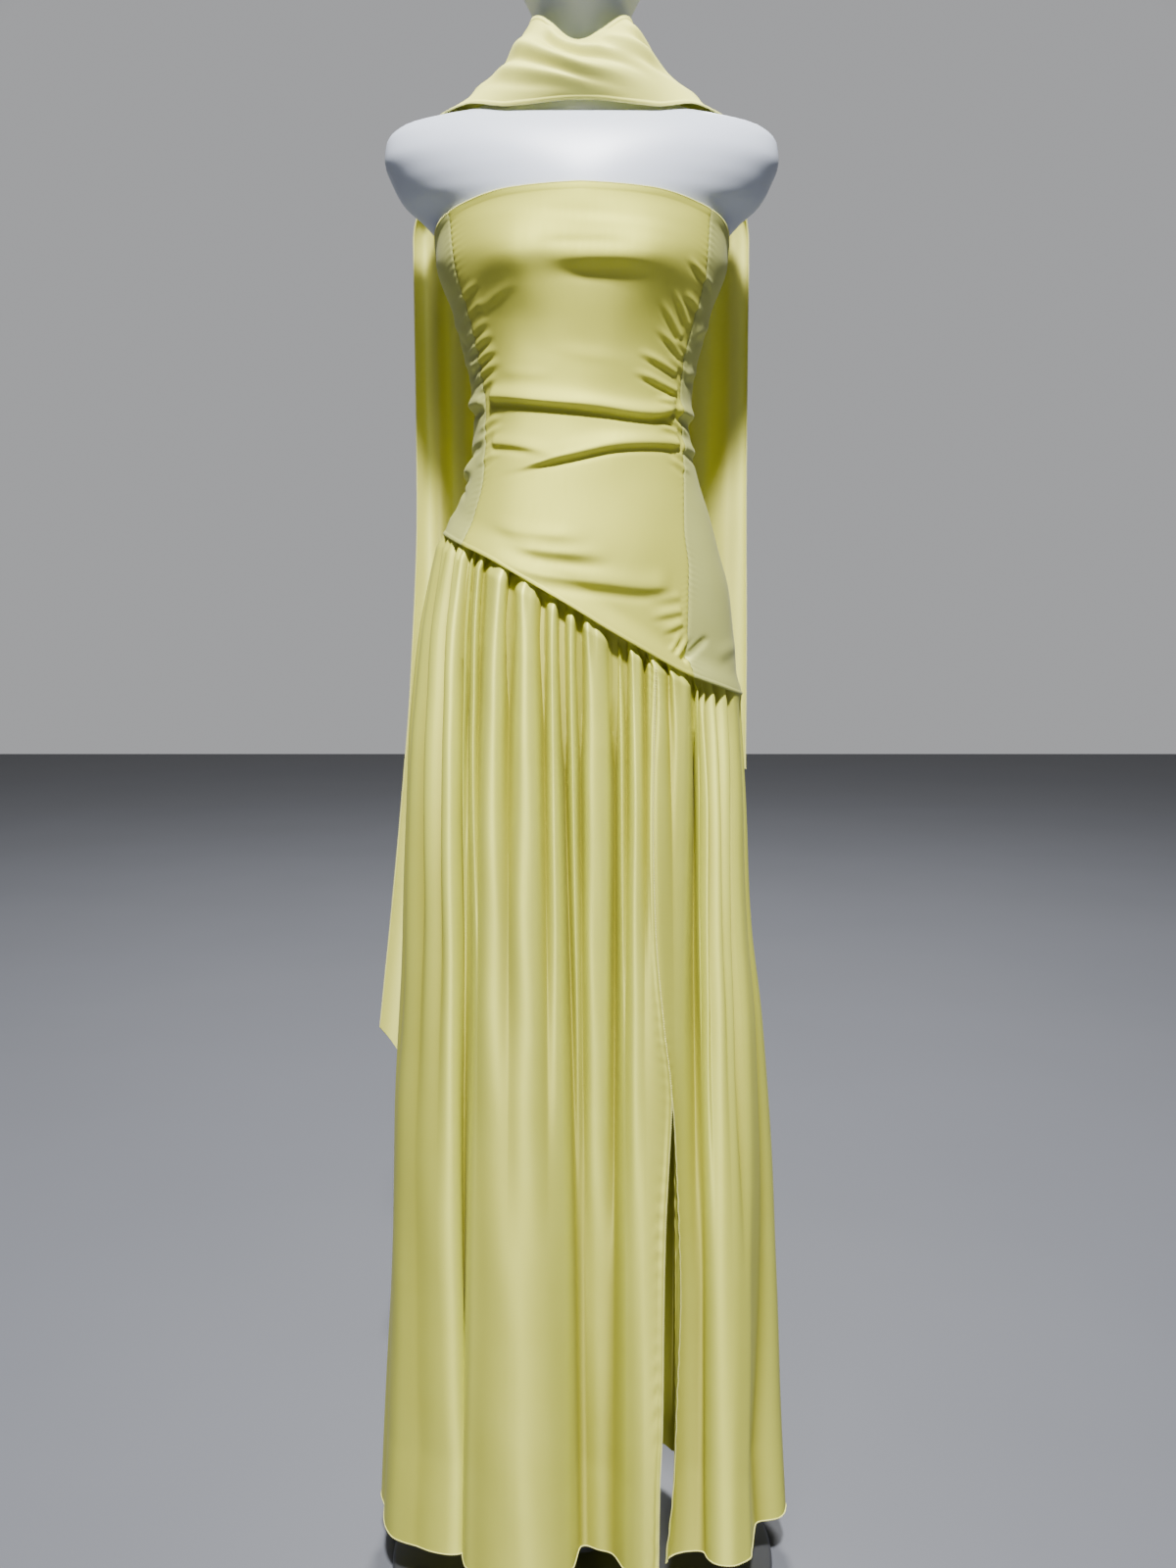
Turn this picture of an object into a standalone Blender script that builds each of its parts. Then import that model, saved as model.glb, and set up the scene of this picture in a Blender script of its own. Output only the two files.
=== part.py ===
"""Strapless maxi gown with a slanted hip seam, and its scarf, on a limbless dress form.

Metres, +Z up. The origin is the middle of the base plate's underside, on the floor.
The front faces -Y and the viewer's right is +X. Every cloth piece is a wall through
sections round the figure. An angle round it is 0 at the front, +90 degrees at the
viewer's right and 180 degrees at the back.
"""
import math

import bmesh
import bpy
import numpy as np

COLLECTION = "gown_on_dress_form"

# Base and pole of the dress form
BASE_RADIUS = 0.205
BASE_RIM = 0.0065
BASE_CROWN = 0.0100
SOCKET_RADIUS = 0.022
SOCKET_TOP = 0.046
POLE_RADIUS = 0.0125
POLE_FOOT = 0.0120
COLLAR_RADIUS = 0.030
COLLAR_HEIGHT = 0.024
BASE_STEPS = 36
POLE_STEPS = 20
SEAT_GAP = 0.0003

# The figure's sections: z, half_width, front, back, fullness. A fullness of 2 is an ellipse
FIGURE = (
    (0.838, 0.060, 0.040, 0.042, 2.00),
    (0.842, 0.105, 0.066, 0.070, 2.10),
    (0.852, 0.129, 0.081, 0.088, 2.20),
    (0.870, 0.142, 0.089, 0.098, 2.25),
    (0.900, 0.148, 0.094, 0.105, 2.30),
    (0.950, 0.150, 0.097, 0.110, 2.30),
    (0.993, 0.147, 0.098, 0.110, 2.30),
    (1.033, 0.142, 0.096, 0.105, 2.30),
    (1.074, 0.131, 0.093, 0.096, 2.30),
    (1.108, 0.121, 0.089, 0.088, 2.30),
    (1.138, 0.111, 0.085, 0.080, 2.30),
    (1.165, 0.105, 0.081, 0.075, 2.30),
    (1.192, 0.102, 0.078, 0.072, 2.30),
    (1.218, 0.103, 0.079, 0.072, 2.30),
    (1.245, 0.107, 0.083, 0.076, 2.30),
    (1.275, 0.115, 0.090, 0.082, 2.30),
    (1.305, 0.123, 0.097, 0.087, 2.30),
    (1.322, 0.130, 0.100, 0.089, 2.28),
    (1.343, 0.1365, 0.102, 0.092, 2.22),
    (1.365, 0.138, 0.101, 0.094, 2.10),
    (1.385, 0.153, 0.099, 0.095, 1.80),
    (1.402, 0.172, 0.096, 0.095, 1.85),
    (1.420, 0.182, 0.091, 0.093, 2.00),
    (1.440, 0.189, 0.083, 0.090, 2.15),
    (1.456, 0.187, 0.074, 0.085, 2.20),
    (1.468, 0.176, 0.064, 0.077, 2.20),
    (1.473, 0.157, 0.059, 0.070, 2.20),
    (1.478, 0.130, 0.055, 0.065, 2.10),
    (1.486, 0.103, 0.052, 0.060, 2.00),
    (1.498, 0.077, 0.049, 0.056, 2.00),
    (1.515, 0.058, 0.047, 0.052, 2.00),
    (1.535, 0.045, 0.045, 0.048, 2.00),
    (1.553, 0.041, 0.058, 0.048, 1.90),
    (1.572, 0.046, 0.073, 0.054, 1.90),
    (1.605, 0.061, 0.084, 0.073, 2.00),
    (1.650, 0.073, 0.091, 0.090, 2.00),
    (1.695, 0.073, 0.086, 0.093, 2.00),
    (1.735, 0.057, 0.065, 0.074, 2.00),
    (1.760, 0.031, 0.035, 0.041, 2.00),
    (1.769, 0.012, 0.013, 0.015, 2.00),
)
FIGURE_SEGMENTS = 36
BUST_X = 0.060
BUST_Z = 1.328
BUST_RISE = 0.010
BUST_WIDTH = 0.036
BUST_HEIGHT = 0.034

# Bodice cloth: how it lies on the figure, and where its edges and seams run
BODICE_WALL = 0.0016
BODICE_LIFT = 0.0024
BODICE_FLARE = 0.0064
FLARE_HEIGHT = 0.026
SEAM_GAP = 0.0004
# Top edge: degrees from the front, z
TOP_EDGE = (
    (0, 1.393),
    (35, 1.391),
    (60, 1.383),
    (78, 1.371),
    (95, 1.356),
    (140, 1.350),
    (180, 1.348),
)
# Slanted hip seam, the bodice's lower edge: x, z, the same for the front and the back
HIP_SEAM = (
    (-0.156, 1.090),
    (-0.129, 1.078),
    (-0.084, 1.059),
    (-0.048, 1.039),
    (-0.012, 1.018),
    (0.024, 0.995),
    (0.061, 0.973),
    (0.097, 0.953),
    (0.125, 0.942),
    (0.160, 0.928),
)
# Seams beside the front's middle panel: z, left_x, right_x
PANEL_SEAMS = (
    (0.950, -0.110, 0.096),
    (1.050, -0.108, 0.098),
    (1.090, -0.102, 0.094),
    (1.140, -0.090, 0.094),
    (1.175, -0.088, 0.093),
    (1.205, -0.088, 0.090),
    (1.240, -0.092, 0.092),
    (1.285, -0.101, 0.102),
    (1.330, -0.113, 0.112),
    (1.395, -0.122, 0.117),
)
# Heights of the panels' rows: steps below the top edge, levels, steps above the flare
TOP_STEPS = (0.5,)
FRONT_LEVELS = (1.343, 1.322, 1.305, 1.275, 1.245, 1.218, 1.208, 1.199, 1.190, 1.178, 1.165, 1.152, 1.138)
BACK_LEVELS = (1.305, 1.275, 1.245, 1.218, 1.192, 1.165, 1.138)
HIP_STEPS = (0.25, 0.50, 0.75)
FLARE_STEPS = (1.0, 0.4, 0.0)
# Rolls of slack cloth across the front: knots of (x, z) along the roll, rise, spread
ROLLS = (
    (((-0.090, 1.2150), (-0.032, 1.2050), (0.049, 1.1955), (0.090, 1.2035)), 0.0050, 0.0060),
    (((-0.084, 1.1420), (-0.033, 1.1517), (0.028, 1.1662), (0.094, 1.1700)), 0.0042, 0.0065),
    (((-0.100, 1.0620), (-0.046, 1.0485), (0.021, 1.0390), (0.090, 1.0360)), 0.0034, 0.0100),
)

# Skirt cloth
SKIRT_WALL = 0.0015
TUCK = 0.008
TUCK_LIFT = 0.0060
SEAM_LIFT = 0.0074
BODY_CLEARANCE = 0.0032
SPREAD_FALL = 0.055
# Envelope that the skirt's folds reach: z, left, right, front, back, fullness
SKIRT = (
    (0.050, 0.225, 0.221, 0.122, 0.146, 2.60),
    (0.200, 0.216, 0.212, 0.121, 0.144, 2.55),
    (0.310, 0.208, 0.207, 0.120, 0.142, 2.50),
    (0.500, 0.198, 0.195, 0.119, 0.140, 2.45),
    (0.600, 0.191, 0.186, 0.119, 0.138, 2.40),
    (0.690, 0.185, 0.175, 0.119, 0.136, 2.35),
    (0.800, 0.180, 0.167, 0.119, 0.132, 2.30),
    (0.880, 0.175, 0.162, 0.118, 0.129, 2.25),
    (0.940, 0.169, 0.158, 0.116, 0.126, 2.20),
    (0.990, 0.163, 0.156, 0.114, 0.122, 2.20),
    (1.040, 0.153, 0.150, 0.111, 0.116, 2.20),
    (1.095, 0.140, 0.140, 0.106, 0.106, 2.20),
)
HEM_Z = 0.050
# Valleys between the folds, each followed by how far the next fold is set back at the hem:
# x at the seam, mid height and hem, depth at the seam, mid height and hem, set_back.
# At the slit there is no valley, and the fold on its right is set back
FRONT_LEFT_FOLDS = (
    (-0.136, -0.166, -0.200, 0.003, 0.004, 0.003, 0.008),
    (-0.125, -0.150, -0.176, 0.004, 0.006, 0.002, 0.014),
    (-0.112, -0.124, -0.150, 0.004, 0.005, 0.004, 0.018),
    (-0.091, -0.107, -0.122, 0.004, 0.013, 0.032, 0.000),
    (-0.074, -0.089, -0.093, 0.004, 0.002, 0.000, 0.000),
    (-0.056, -0.073, -0.074, 0.004, 0.007, 0.001, 0.000),
    (-0.035, -0.033, -0.038, 0.004, 0.007, 0.001, 0.000),
    (-0.019, -0.010, -0.007, 0.004, 0.014, 0.012, 0.046),
    (0.003, 0.004, 0.010, 0.004, 0.008, 0.004, 0.046),
    (0.020, 0.018, 0.025, 0.004, 0.002, 0.001, 0.034),
    (0.033, 0.030, 0.036, 0.004, 0.006, 0.002, 0.016),
    (0.044, 0.042, 0.047, 0.004, 0.012, 0.007, 0.003),
    (0.057, 0.060, 0.062, 0.004, 0.002, 0.003, 0.003),
)
SLIT_STEP = ((0.0695, 0.082, 0.088, 0.0, 0.0, 0.0, 0.030),)
FRONT_RIGHT_FOLDS = (
    (0.084, 0.100, 0.104, 0.004, 0.004, 0.002, 0.034),
    (0.100, 0.111, 0.118, 0.004, 0.007, 0.004, 0.035),
    (0.114, 0.126, 0.129, 0.004, 0.005, 0.002, 0.024),
    (0.126, 0.139, 0.142, 0.004, 0.008, 0.003, 0.008),
    (0.138, 0.154, 0.158, 0.004, 0.009, 0.002, 0.003),
    (0.146, 0.166, 0.174, 0.003, 0.006, 0.005, 0.000),
)
BACK_FOLDS = (
    (0.143, 0.168, 0.196, 0.003, 0.006, 0.006, 0.004),
    (0.128, 0.150, 0.172, 0.004, 0.010, 0.020, 0.010),
    (0.108, 0.128, 0.139, 0.004, 0.004, 0.001, 0.004),
    (0.090, 0.103, 0.106, 0.004, 0.012, 0.024, 0.020),
    (0.071, 0.081, 0.081, 0.004, 0.005, 0.002, 0.022),
    (0.052, 0.056, 0.054, 0.004, 0.009, 0.014, 0.000),
    (0.034, 0.037, 0.034, 0.004, 0.004, 0.001, 0.000),
    (0.017, 0.016, 0.010, 0.004, 0.011, 0.022, 0.012),
    (-0.003, -0.004, -0.014, 0.004, 0.005, 0.003, 0.006),
    (-0.024, -0.028, -0.040, 0.004, 0.012, 0.024, 0.024),
    (-0.045, -0.052, -0.064, 0.004, 0.005, 0.002, 0.026),
    (-0.066, -0.078, -0.088, 0.004, 0.010, 0.015, 0.000),
    (-0.086, -0.099, -0.111, 0.004, 0.004, 0.001, 0.000),
    (-0.105, -0.121, -0.137, 0.004, 0.011, 0.021, 0.010),
    (-0.124, -0.145, -0.166, 0.004, 0.005, 0.003, 0.012),
    (-0.139, -0.166, -0.197, 0.003, 0.008, 0.009, 0.000),
)
# Valleys at the skirt's sides, in degrees round from the front at the three heights
LEFT_SIDE_FRONT = ((-83, -80, -83, 0.003, 0.007, 0.012, 0.000),)
RIGHT_SIDE_FRONT = ((82, 79, 79, 0.003, 0.010, 0.034, 0.000),)
RIGHT_SIDE_BACK = ((98, 101, 100, 0.003, 0.007, 0.012, 0.000),)
LEFT_SIDE_BACK = ((262, 258, 260, 0.003, 0.007, 0.010, 0.000),)
VALLEY_FOOT = 0.0035
VALLEY_SPREAD = 0.60
VALLEY_SHARPNESS = 1.35
STEP_SOFTNESS = 0.006
STEP_SPREAD = 0.08
STEP_GROWTH = 1.6
# The slit's two edges: fall from the seam (0) to the hem (1), left_x, right_x
SLIT = (
    (0.00, 0.0695, 0.0695),
    (0.17, 0.0670, 0.0670),
    (0.28, 0.0700, 0.0700),
    (0.38, 0.0785, 0.0785),
    (0.46, 0.0865, 0.0880),
    (0.53, 0.0840, 0.0920),
    (0.61, 0.0810, 0.0957),
    (0.69, 0.0800, 0.0980),
    (0.82, 0.0795, 0.0950),
    (0.90, 0.0770, 0.0930),
    (1.00, 0.0763, 0.0850),
)
SIDE_SEAM = math.pi / 2
SKIRT_FALLS = (0.020, 0.055, 0.11, 0.19, 0.30, 0.44, 0.58, 0.72, 0.86, 1.0)
SPOTS_PER_FOLD = 3
STEEPEST = 2.4
FINE_TURN = 0.004
TUCK_GATHER = 0.4

# Scarf: run along it from the front's middle, points of its outer edge, middle and
# inner edge on the viewer's right side, and the depth of its pleats
SCARF_WALL = 0.0015
SCARF_NECK = (
    (0.00, (0.000, -0.0695, 1.4780), (-0.001, -0.0830, 1.5020), (-0.003, -0.0740, 1.5240), 0.0015),
    (0.07, (0.068, -0.0615, 1.4750), (0.056, -0.0660, 1.5120), (0.035, -0.0610, 1.5480), 0.0020),
    (0.11, (0.108, -0.0420, 1.4800), (0.072, -0.0360, 1.5180), (0.046, -0.0350, 1.5560), 0.0012),
    (0.15, (0.140, 0.0000, 1.4807), (0.082, 0.0030, 1.5200), (0.049, 0.0020, 1.5600), 0.0015),
    (0.21, (0.152, 0.0655, 1.4575), (0.102, 0.0780, 1.4820), (0.054, 0.0640, 1.5220), 0.0040),
)
SCARF_RIGHT = (
    (0.30, (0.173, 0.0960, 1.3950), (0.112, 0.1120, 1.4000), (0.046, 0.1120, 1.4200), 0.0075),
    (0.55, (0.176, 0.1120, 1.1450), (0.112, 0.1260, 1.1450), (0.042, 0.1270, 1.1500), 0.0090),
    (0.75, (0.180, 0.1220, 0.9500), (0.116, 0.1420, 0.9500), (0.046, 0.1430, 0.9500), 0.0090),
    (0.90, (0.181, 0.1260, 0.8420), (0.122, 0.1450, 0.8150), (0.056, 0.1450, 0.8000), 0.0085),
)
SCARF_LEFT = (
    (0.30, (0.175, 0.0960, 1.3950), (0.112, 0.1120, 1.4000), (0.048, 0.1120, 1.4200), 0.0075),
    (0.55, (0.177, 0.1120, 1.1450), (0.113, 0.1260, 1.1450), (0.044, 0.1270, 1.1500), 0.0090),
    (0.75, (0.188, 0.1240, 0.9500), (0.118, 0.1420, 0.9500), (0.048, 0.1430, 0.9500), 0.0095),
    (0.93, (0.206, 0.1330, 0.7700), (0.135, 0.1480, 0.7600), (0.062, 0.1490, 0.7600), 0.0100),
    (1.16, (0.233, 0.1400, 0.5420), (0.165, 0.1540, 0.4700), (0.092, 0.1540, 0.4650), 0.0095),
)
SCARF_PLEATS = 4
SPOTS_PER_PLEAT = 4
SCARF_CENTRE = (0.0, 0.010, 1.430)
NECK_RUNS = 16
TAIL_RUNS = 8


def curve_through(places, values):
    """A smooth curve through one column of a table, which never overshoots its rows."""
    places = np.asarray(places, float)
    values = np.asarray(values, float)
    widths = np.diff(places)
    rates = np.diff(values) / widths
    slopes = np.zeros(len(values))
    slopes[0] = rates[0]
    slopes[-1] = rates[-1]
    for i in range(1, len(rates)):
        if rates[i - 1] * rates[i] > 0:
            slopes[i] = 2 * rates[i - 1] * rates[i] / (rates[i - 1] + rates[i])

    def at(place):
        place = min(max(place, places[0]), places[-1])
        i = min(int(np.searchsorted(places, place, side="right")) - 1, len(widths) - 1)
        u = (place - places[i]) / widths[i]
        start = (1 + 2 * u) * (1 - u) ** 2 * values[i]
        end = u * u * (3 - 2 * u) * values[i + 1]
        bend = widths[i] * u * (1 - u) * ((1 - u) * slopes[i] - u * slopes[i + 1])
        return float(start + end + bend)

    return at


def curves_of(table):
    """A curve for each column of a table, along its first column."""
    rows = np.array(table, float)
    return [curve_through(rows[:, 0], rows[:, k]) for k in range(1, rows.shape[1])]


def ease(share):
    """0 to 1 with a level start and end."""
    share = min(max(share, 0.0), 1.0)
    return share * share * (3 - 2 * share)


FIGURE_CURVES = curves_of(FIGURE)
SKIRT_CURVES = curves_of(SKIRT)
SEAM_CURVES = curves_of(PANEL_SEAMS)
SLIT_CURVES = curves_of(SLIT)
TOP_CURVE = curves_of(TOP_EDGE)[0]
HIP_CURVE = curves_of(HIP_SEAM)[0]
ROLL_CURVES = [(curves_of(knots)[0], rise, spread) for knots, rise, spread in ROLLS]


def oval_radius(angle, half_width, front, back, fullness):
    """Distance from the axis to an oval section, in the direction of an angle."""
    across = abs(math.sin(angle)) / half_width
    along = abs(math.cos(angle)) / (front if math.cos(angle) > 0 else back)
    return (across ** fullness + along ** fullness) ** (-1 / fullness)


def oval_angle(x, half_width, depth, fullness):
    """Angle, from the front, of the point of an oval's front half at x."""
    share = min(abs(x) / half_width, 0.9995)
    return math.atan2(x, depth * (1 - share ** fullness) ** (1 / fullness))


def point_at(angle, radius, z):
    return (radius * math.sin(angle), -radius * math.cos(angle), z)


def figure_radius(angle, z):
    """The dress form's surface."""
    radius = oval_radius(angle, *(curve(z) for curve in FIGURE_CURVES))
    if math.cos(angle) > 0:
        x = abs(radius * math.sin(angle))
        away = ((x - BUST_X) / BUST_WIDTH) ** 2 + ((z - BUST_Z) / BUST_HEIGHT) ** 2
        radius += BUST_RISE * math.exp(-away) * ease(math.cos(angle) / 0.5)
    return radius


def hip_seam_z(angle):
    """Height of the slanted hip seam."""
    half_width, front, back, fullness = (curve(1.0) for curve in FIGURE_CURVES)
    reach = oval_radius(angle, half_width, front, back, fullness) + SEAM_LIFT
    return HIP_CURVE(reach * math.sin(angle))


def top_edge_z(angle):
    turn = abs(math.degrees(math.atan2(math.sin(angle), math.cos(angle))))
    return TOP_CURVE(turn)


def roll_rise(angle, x, z):
    """How far the slack rolls across the front stand out at a point."""
    if math.cos(angle) <= 0:
        return 0.0
    rise = 0.0
    for crest, height, spread in ROLL_CURVES:
        above = (z - crest(x)) / spread
        fade = ease((0.112 - abs(x)) / 0.020)
        rise += height * fade * math.exp(-above ** 2)
    return rise


def bodice_spot(angle, z):
    """Outer and inner point of the bodice, which flares where it meets the skirt."""
    flare = BODICE_FLARE * ease(1 - (z - hip_seam_z(angle)) / FLARE_HEIGHT)
    radius = figure_radius(angle, z) + BODICE_LIFT + flare
    radius += roll_rise(angle, radius * math.sin(angle), z)
    return point_at(angle, radius + BODICE_WALL, z), point_at(angle, radius, z)


def panel_angle(x, z):
    """Angle of a seam that runs at x on the figure's front."""
    half_width, front, _, fullness = (curve(z) for curve in FIGURE_CURVES)
    return oval_angle(x, half_width, front, fullness)


def panel_height(row, angle, levels):
    """Height of one row of a bodice panel, from its top edge down to the hip seam."""
    top = top_edge_z(angle)
    seam = hip_seam_z(angle)
    flare = seam + FLARE_HEIGHT
    heights = [top]
    heights += [top + step * (levels[0] - top) for step in TOP_STEPS]
    heights += levels
    heights += [levels[-1] + step * (flare - levels[-1]) for step in HIP_STEPS]
    heights += [seam + step * FLARE_HEIGHT for step in FLARE_STEPS]
    return heights[row]


def panel_grid(left_edge, right_edge, columns, levels):
    """Spots of a bodice panel between two edges, which give an angle for a height."""
    grid = []
    for row in range(1 + len(TOP_STEPS) + len(levels) + len(HIP_STEPS) + len(FLARE_STEPS)):
        line = []
        for column in range(columns + 1):
            share = column / columns
            z = levels[-1]
            for _ in range(6):
                angle = left_edge(z) + (right_edge(z) - left_edge(z)) * share
                z = panel_height(row, angle, levels)
            line.append(bodice_spot(angle, z))
        grid.append(line)
    return grid


def fold_height(angle, fall):
    return hip_seam_z(angle) + fall * (HEM_Z - hip_seam_z(angle))


def skirt_angle(x, fall, back):
    """Angle of a point at x on the skirt's front or back, at a fall below the seam."""
    z = HIP_CURVE(x) + fall * (HEM_Z - HIP_CURVE(x))
    left, right, front, rear, fullness = (curve(z) for curve in SKIRT_CURVES)
    half_width = left if x < 0 else right
    angle = oval_angle(x, half_width, rear if back else front, fullness)
    return math.pi - angle if back else angle


def front_angle(x, fall):
    return skirt_angle(x, fall, False)


def back_angle(x, fall):
    return skirt_angle(x, fall, True)


def side_angle(degrees, fall):
    return math.radians(degrees)


SKIRT_FRONT_LEFT = ((LEFT_SIDE_FRONT, side_angle), (FRONT_LEFT_FOLDS, front_angle))
SKIRT_SLIT = ((SLIT_STEP, front_angle),)
SKIRT_FRONT_RIGHT = ((FRONT_RIGHT_FOLDS, front_angle), (RIGHT_SIDE_FRONT, side_angle))
SKIRT_BACK = (
    (RIGHT_SIDE_BACK, side_angle),
    (BACK_FOLDS, back_angle),
    (LEFT_SIDE_BACK, side_angle),
)


def make_valleys():
    """Every valley in order round the skirt: its angle and depth by fall, and the step after it."""
    falls = (0.0, 0.4, 1.0)
    valleys = []
    before = 0.0
    for table, angle_of in SKIRT_FRONT_LEFT + SKIRT_SLIT + SKIRT_FRONT_RIGHT + SKIRT_BACK:
        for row in table:
            angles = [angle_of(place, fall) for place, fall in zip(row[:3], falls)]
            set_back = row[6]
            valleys.append((
                curve_through(falls, angles),
                curve_through(falls, row[3:6]),
                set_back - before,
            ))
            before = set_back
    return valleys


VALLEYS = make_valleys()


def fold_depth(angle, fall, reach):
    """How far the cloth lies inside the skirt's envelope."""
    total = 0.0
    for valley_angle, valley_depth, step in VALLEYS:
        turn = angle - valley_angle(fall)
        near = (turn + math.pi) % (2 * math.pi) - math.pi
        depth = valley_depth(fall)
        foot = VALLEY_FOOT + VALLEY_SPREAD * depth
        total += depth * math.exp(-(abs(near * reach) / foot) ** VALLEY_SHARPNESS)
        if step:
            softness = STEP_SOFTNESS + STEP_SPREAD * abs(step)
            share = 0.5 + 0.5 * math.tanh(turn * reach / softness)
            total += step * share * fall ** STEP_GROWTH
    return total


def steepness(shape, place, step, span):
    """How much thicker a wall is along its radius where its surface slants by a slope."""
    slope = (shape(place + step) - shape(place - step)) / span
    return min(math.hypot(1.0, slope), STEEPEST)


def skirt_spot(angle, fall):
    """Outer and inner point of the skirt at a fall from the hip seam, 0, to the hem, 1."""
    z = fold_height(angle, fall)
    left, right, front, back, fullness = (curve(z) for curve in SKIRT_CURVES)
    half_width = left if math.sin(angle) < 0 else right
    body = figure_radius(angle, max(z, FIGURE[0][0]))
    spread = ease(fall / SPREAD_FALL)
    envelope = oval_radius(angle, half_width, front, back, fullness)
    envelope = (body + SEAM_LIFT) * (1 - spread) + envelope * spread
    radius = max(envelope - fold_depth(angle, fall, envelope), body + BODY_CLEARANCE)
    thicker = steepness(lambda a: fold_depth(a, fall, envelope), angle, FINE_TURN,
                        2 * FINE_TURN * envelope)
    inside = max(radius - SKIRT_WALL * thicker, body + BODY_CLEARANCE - SKIRT_WALL)
    return point_at(angle, radius, z), point_at(angle, inside, z)


def tuck_spot(angle):
    """Top edge of the skirt, hidden behind the bodice's lower edge."""
    z = hip_seam_z(angle) + TUCK
    radius = figure_radius(angle, z) + TUCK_LIFT
    radius -= TUCK_GATHER * fold_depth(angle, 0.0, radius)
    return point_at(angle, radius, z), point_at(angle, radius - SKIRT_WALL, z)


def skirt_grid(edges):
    """Spots of a skirt panel whose columns follow its folds."""
    grid = []
    for fall in (None, 0.0) + SKIRT_FALLS:
        stops = [edge(fall or 0.0) for edge in edges]
        angles = [
            start + (end - start) * spot / SPOTS_PER_FOLD
            for start, end in zip(stops, stops[1:])
            for spot in range(SPOTS_PER_FOLD)
        ]
        angles.append(stops[-1])
        grid.append([tuck_spot(angle) if fall is None else skirt_spot(angle, fall)
                     for angle in angles])
    return grid


def scarf_curves(stations, side):
    """Curves of every coordinate of the scarf's outer edge, middle and inner edge."""
    runs = [station[0] for station in stations]
    places = []
    for k in (1, 2, 3):
        flips = (side, 1.0, 1.0)
        places.append([
            curve_through(runs, [flips[axis] * station[k][axis] for station in stations])
            for axis in range(3)
        ])
    return places, curve_through(runs, [station[4] for station in stations])


def scarf_outward(point, run):
    """Which way the scarf's outer face looks: away from the chest, then straight back."""
    away = point - np.array(SCARF_CENTRE)
    away = away / np.linalg.norm(away)
    over = SCARF_NECK[-1][0]
    hang = ease((run - over) / (SCARF_RIGHT[0][0] - over))
    away = away * (1 - hang) + np.array((0.0, 1.0, 0.0)) * hang
    return away / np.linalg.norm(away)


def scarf_spot(curves, run, across):
    """Outer and inner point of the scarf: across is 0 at its outer edge and 1 at its inner."""
    places, pleat = curves
    outer, middle, inner = (np.array([axis(run) for axis in place]) for place in places)
    point = outer * (1 - across) * (1 - 2 * across)
    point = point + middle * 4 * across * (1 - across) + inner * across * (2 * across - 1)
    outward = scarf_outward(point, run)
    turns = 2 * math.pi * SCARF_PLEATS
    width = np.linalg.norm(middle - outer) + np.linalg.norm(inner - middle)
    slope = pleat(run) * turns / width * math.cos(turns * across)
    point = point + outward * pleat(run) * math.sin(turns * across)
    inside = point - outward * SCARF_WALL * min(math.hypot(1.0, slope), STEEPEST)
    return tuple(point), tuple(inside)


def scarf_line(curves, run):
    spots = SCARF_PLEATS * SPOTS_PER_PLEAT
    return [scarf_spot(curves, run, spot / spots) for spot in range(spots + 1)]


def make_material(name, color, roughness, metallic=0.0):
    material = bpy.data.materials.new(name)
    material.use_nodes = True
    shader = material.node_tree.nodes["Principled BSDF"]
    shader.inputs["Base Color"].default_value = (*color, 1.0)
    shader.inputs["Roughness"].default_value = roughness
    shader.inputs["Metallic"].default_value = metallic
    return material


def add_object(name, mesh, material, collection):
    mesh.materials.append(material)
    shape = bpy.data.objects.new(name, mesh)
    collection.objects.link(shape)
    return shape


def cloth_wall(name, grid, material, collection):
    """A cloth piece: a closed wall between its outer and inner points, edges included."""
    mesh = bpy.data.meshes.new(name)
    work = bmesh.new()
    outside = [[work.verts.new(spot[0]) for spot in line] for line in grid]
    inside = [[work.verts.new(spot[1]) for spot in line] for line in grid]
    for skin, turn in ((outside, 1), (inside, -1)):
        for upper, lower in zip(skin, skin[1:]):
            for i in range(len(upper) - 1):
                work.faces.new((upper[i], lower[i], lower[i + 1])[::turn])
                work.faces.new((upper[i], lower[i + 1], upper[i + 1])[::turn])
    rim = ring_of(outside)
    back = ring_of(inside)
    for i in range(len(rim)):
        j = (i + 1) % len(rim)
        work.faces.new((rim[i], rim[j], back[j], back[i]))
    work.to_mesh(mesh)
    work.free()
    return add_object(name, mesh, material, collection)


def ring_of(skin):
    """The border of a grid of points, once round."""
    ring = list(skin[0])
    ring += [line[-1] for line in skin[1:-1]]
    ring += reversed(skin[-1])
    ring += [line[0] for line in reversed(skin[1:-1])]
    return ring


def turned(name, profile, steps, material, collection):
    """A turned shape: the profile runs down its outer side from the top to the bottom."""
    mesh = bpy.data.meshes.new(name)
    edges = [(i, i + 1) for i in range(len(profile) - 1)]
    mesh.from_pydata([(radius, 0.0, z) for radius, z in profile], edges, [])
    shape = add_object(name, mesh, material, collection)
    screw = shape.modifiers.new("turn", "SCREW")
    screw.steps = steps
    screw.render_steps = steps
    screw.use_merge_vertices = True
    screw.merge_threshold = 0.0001
    return shape


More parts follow.
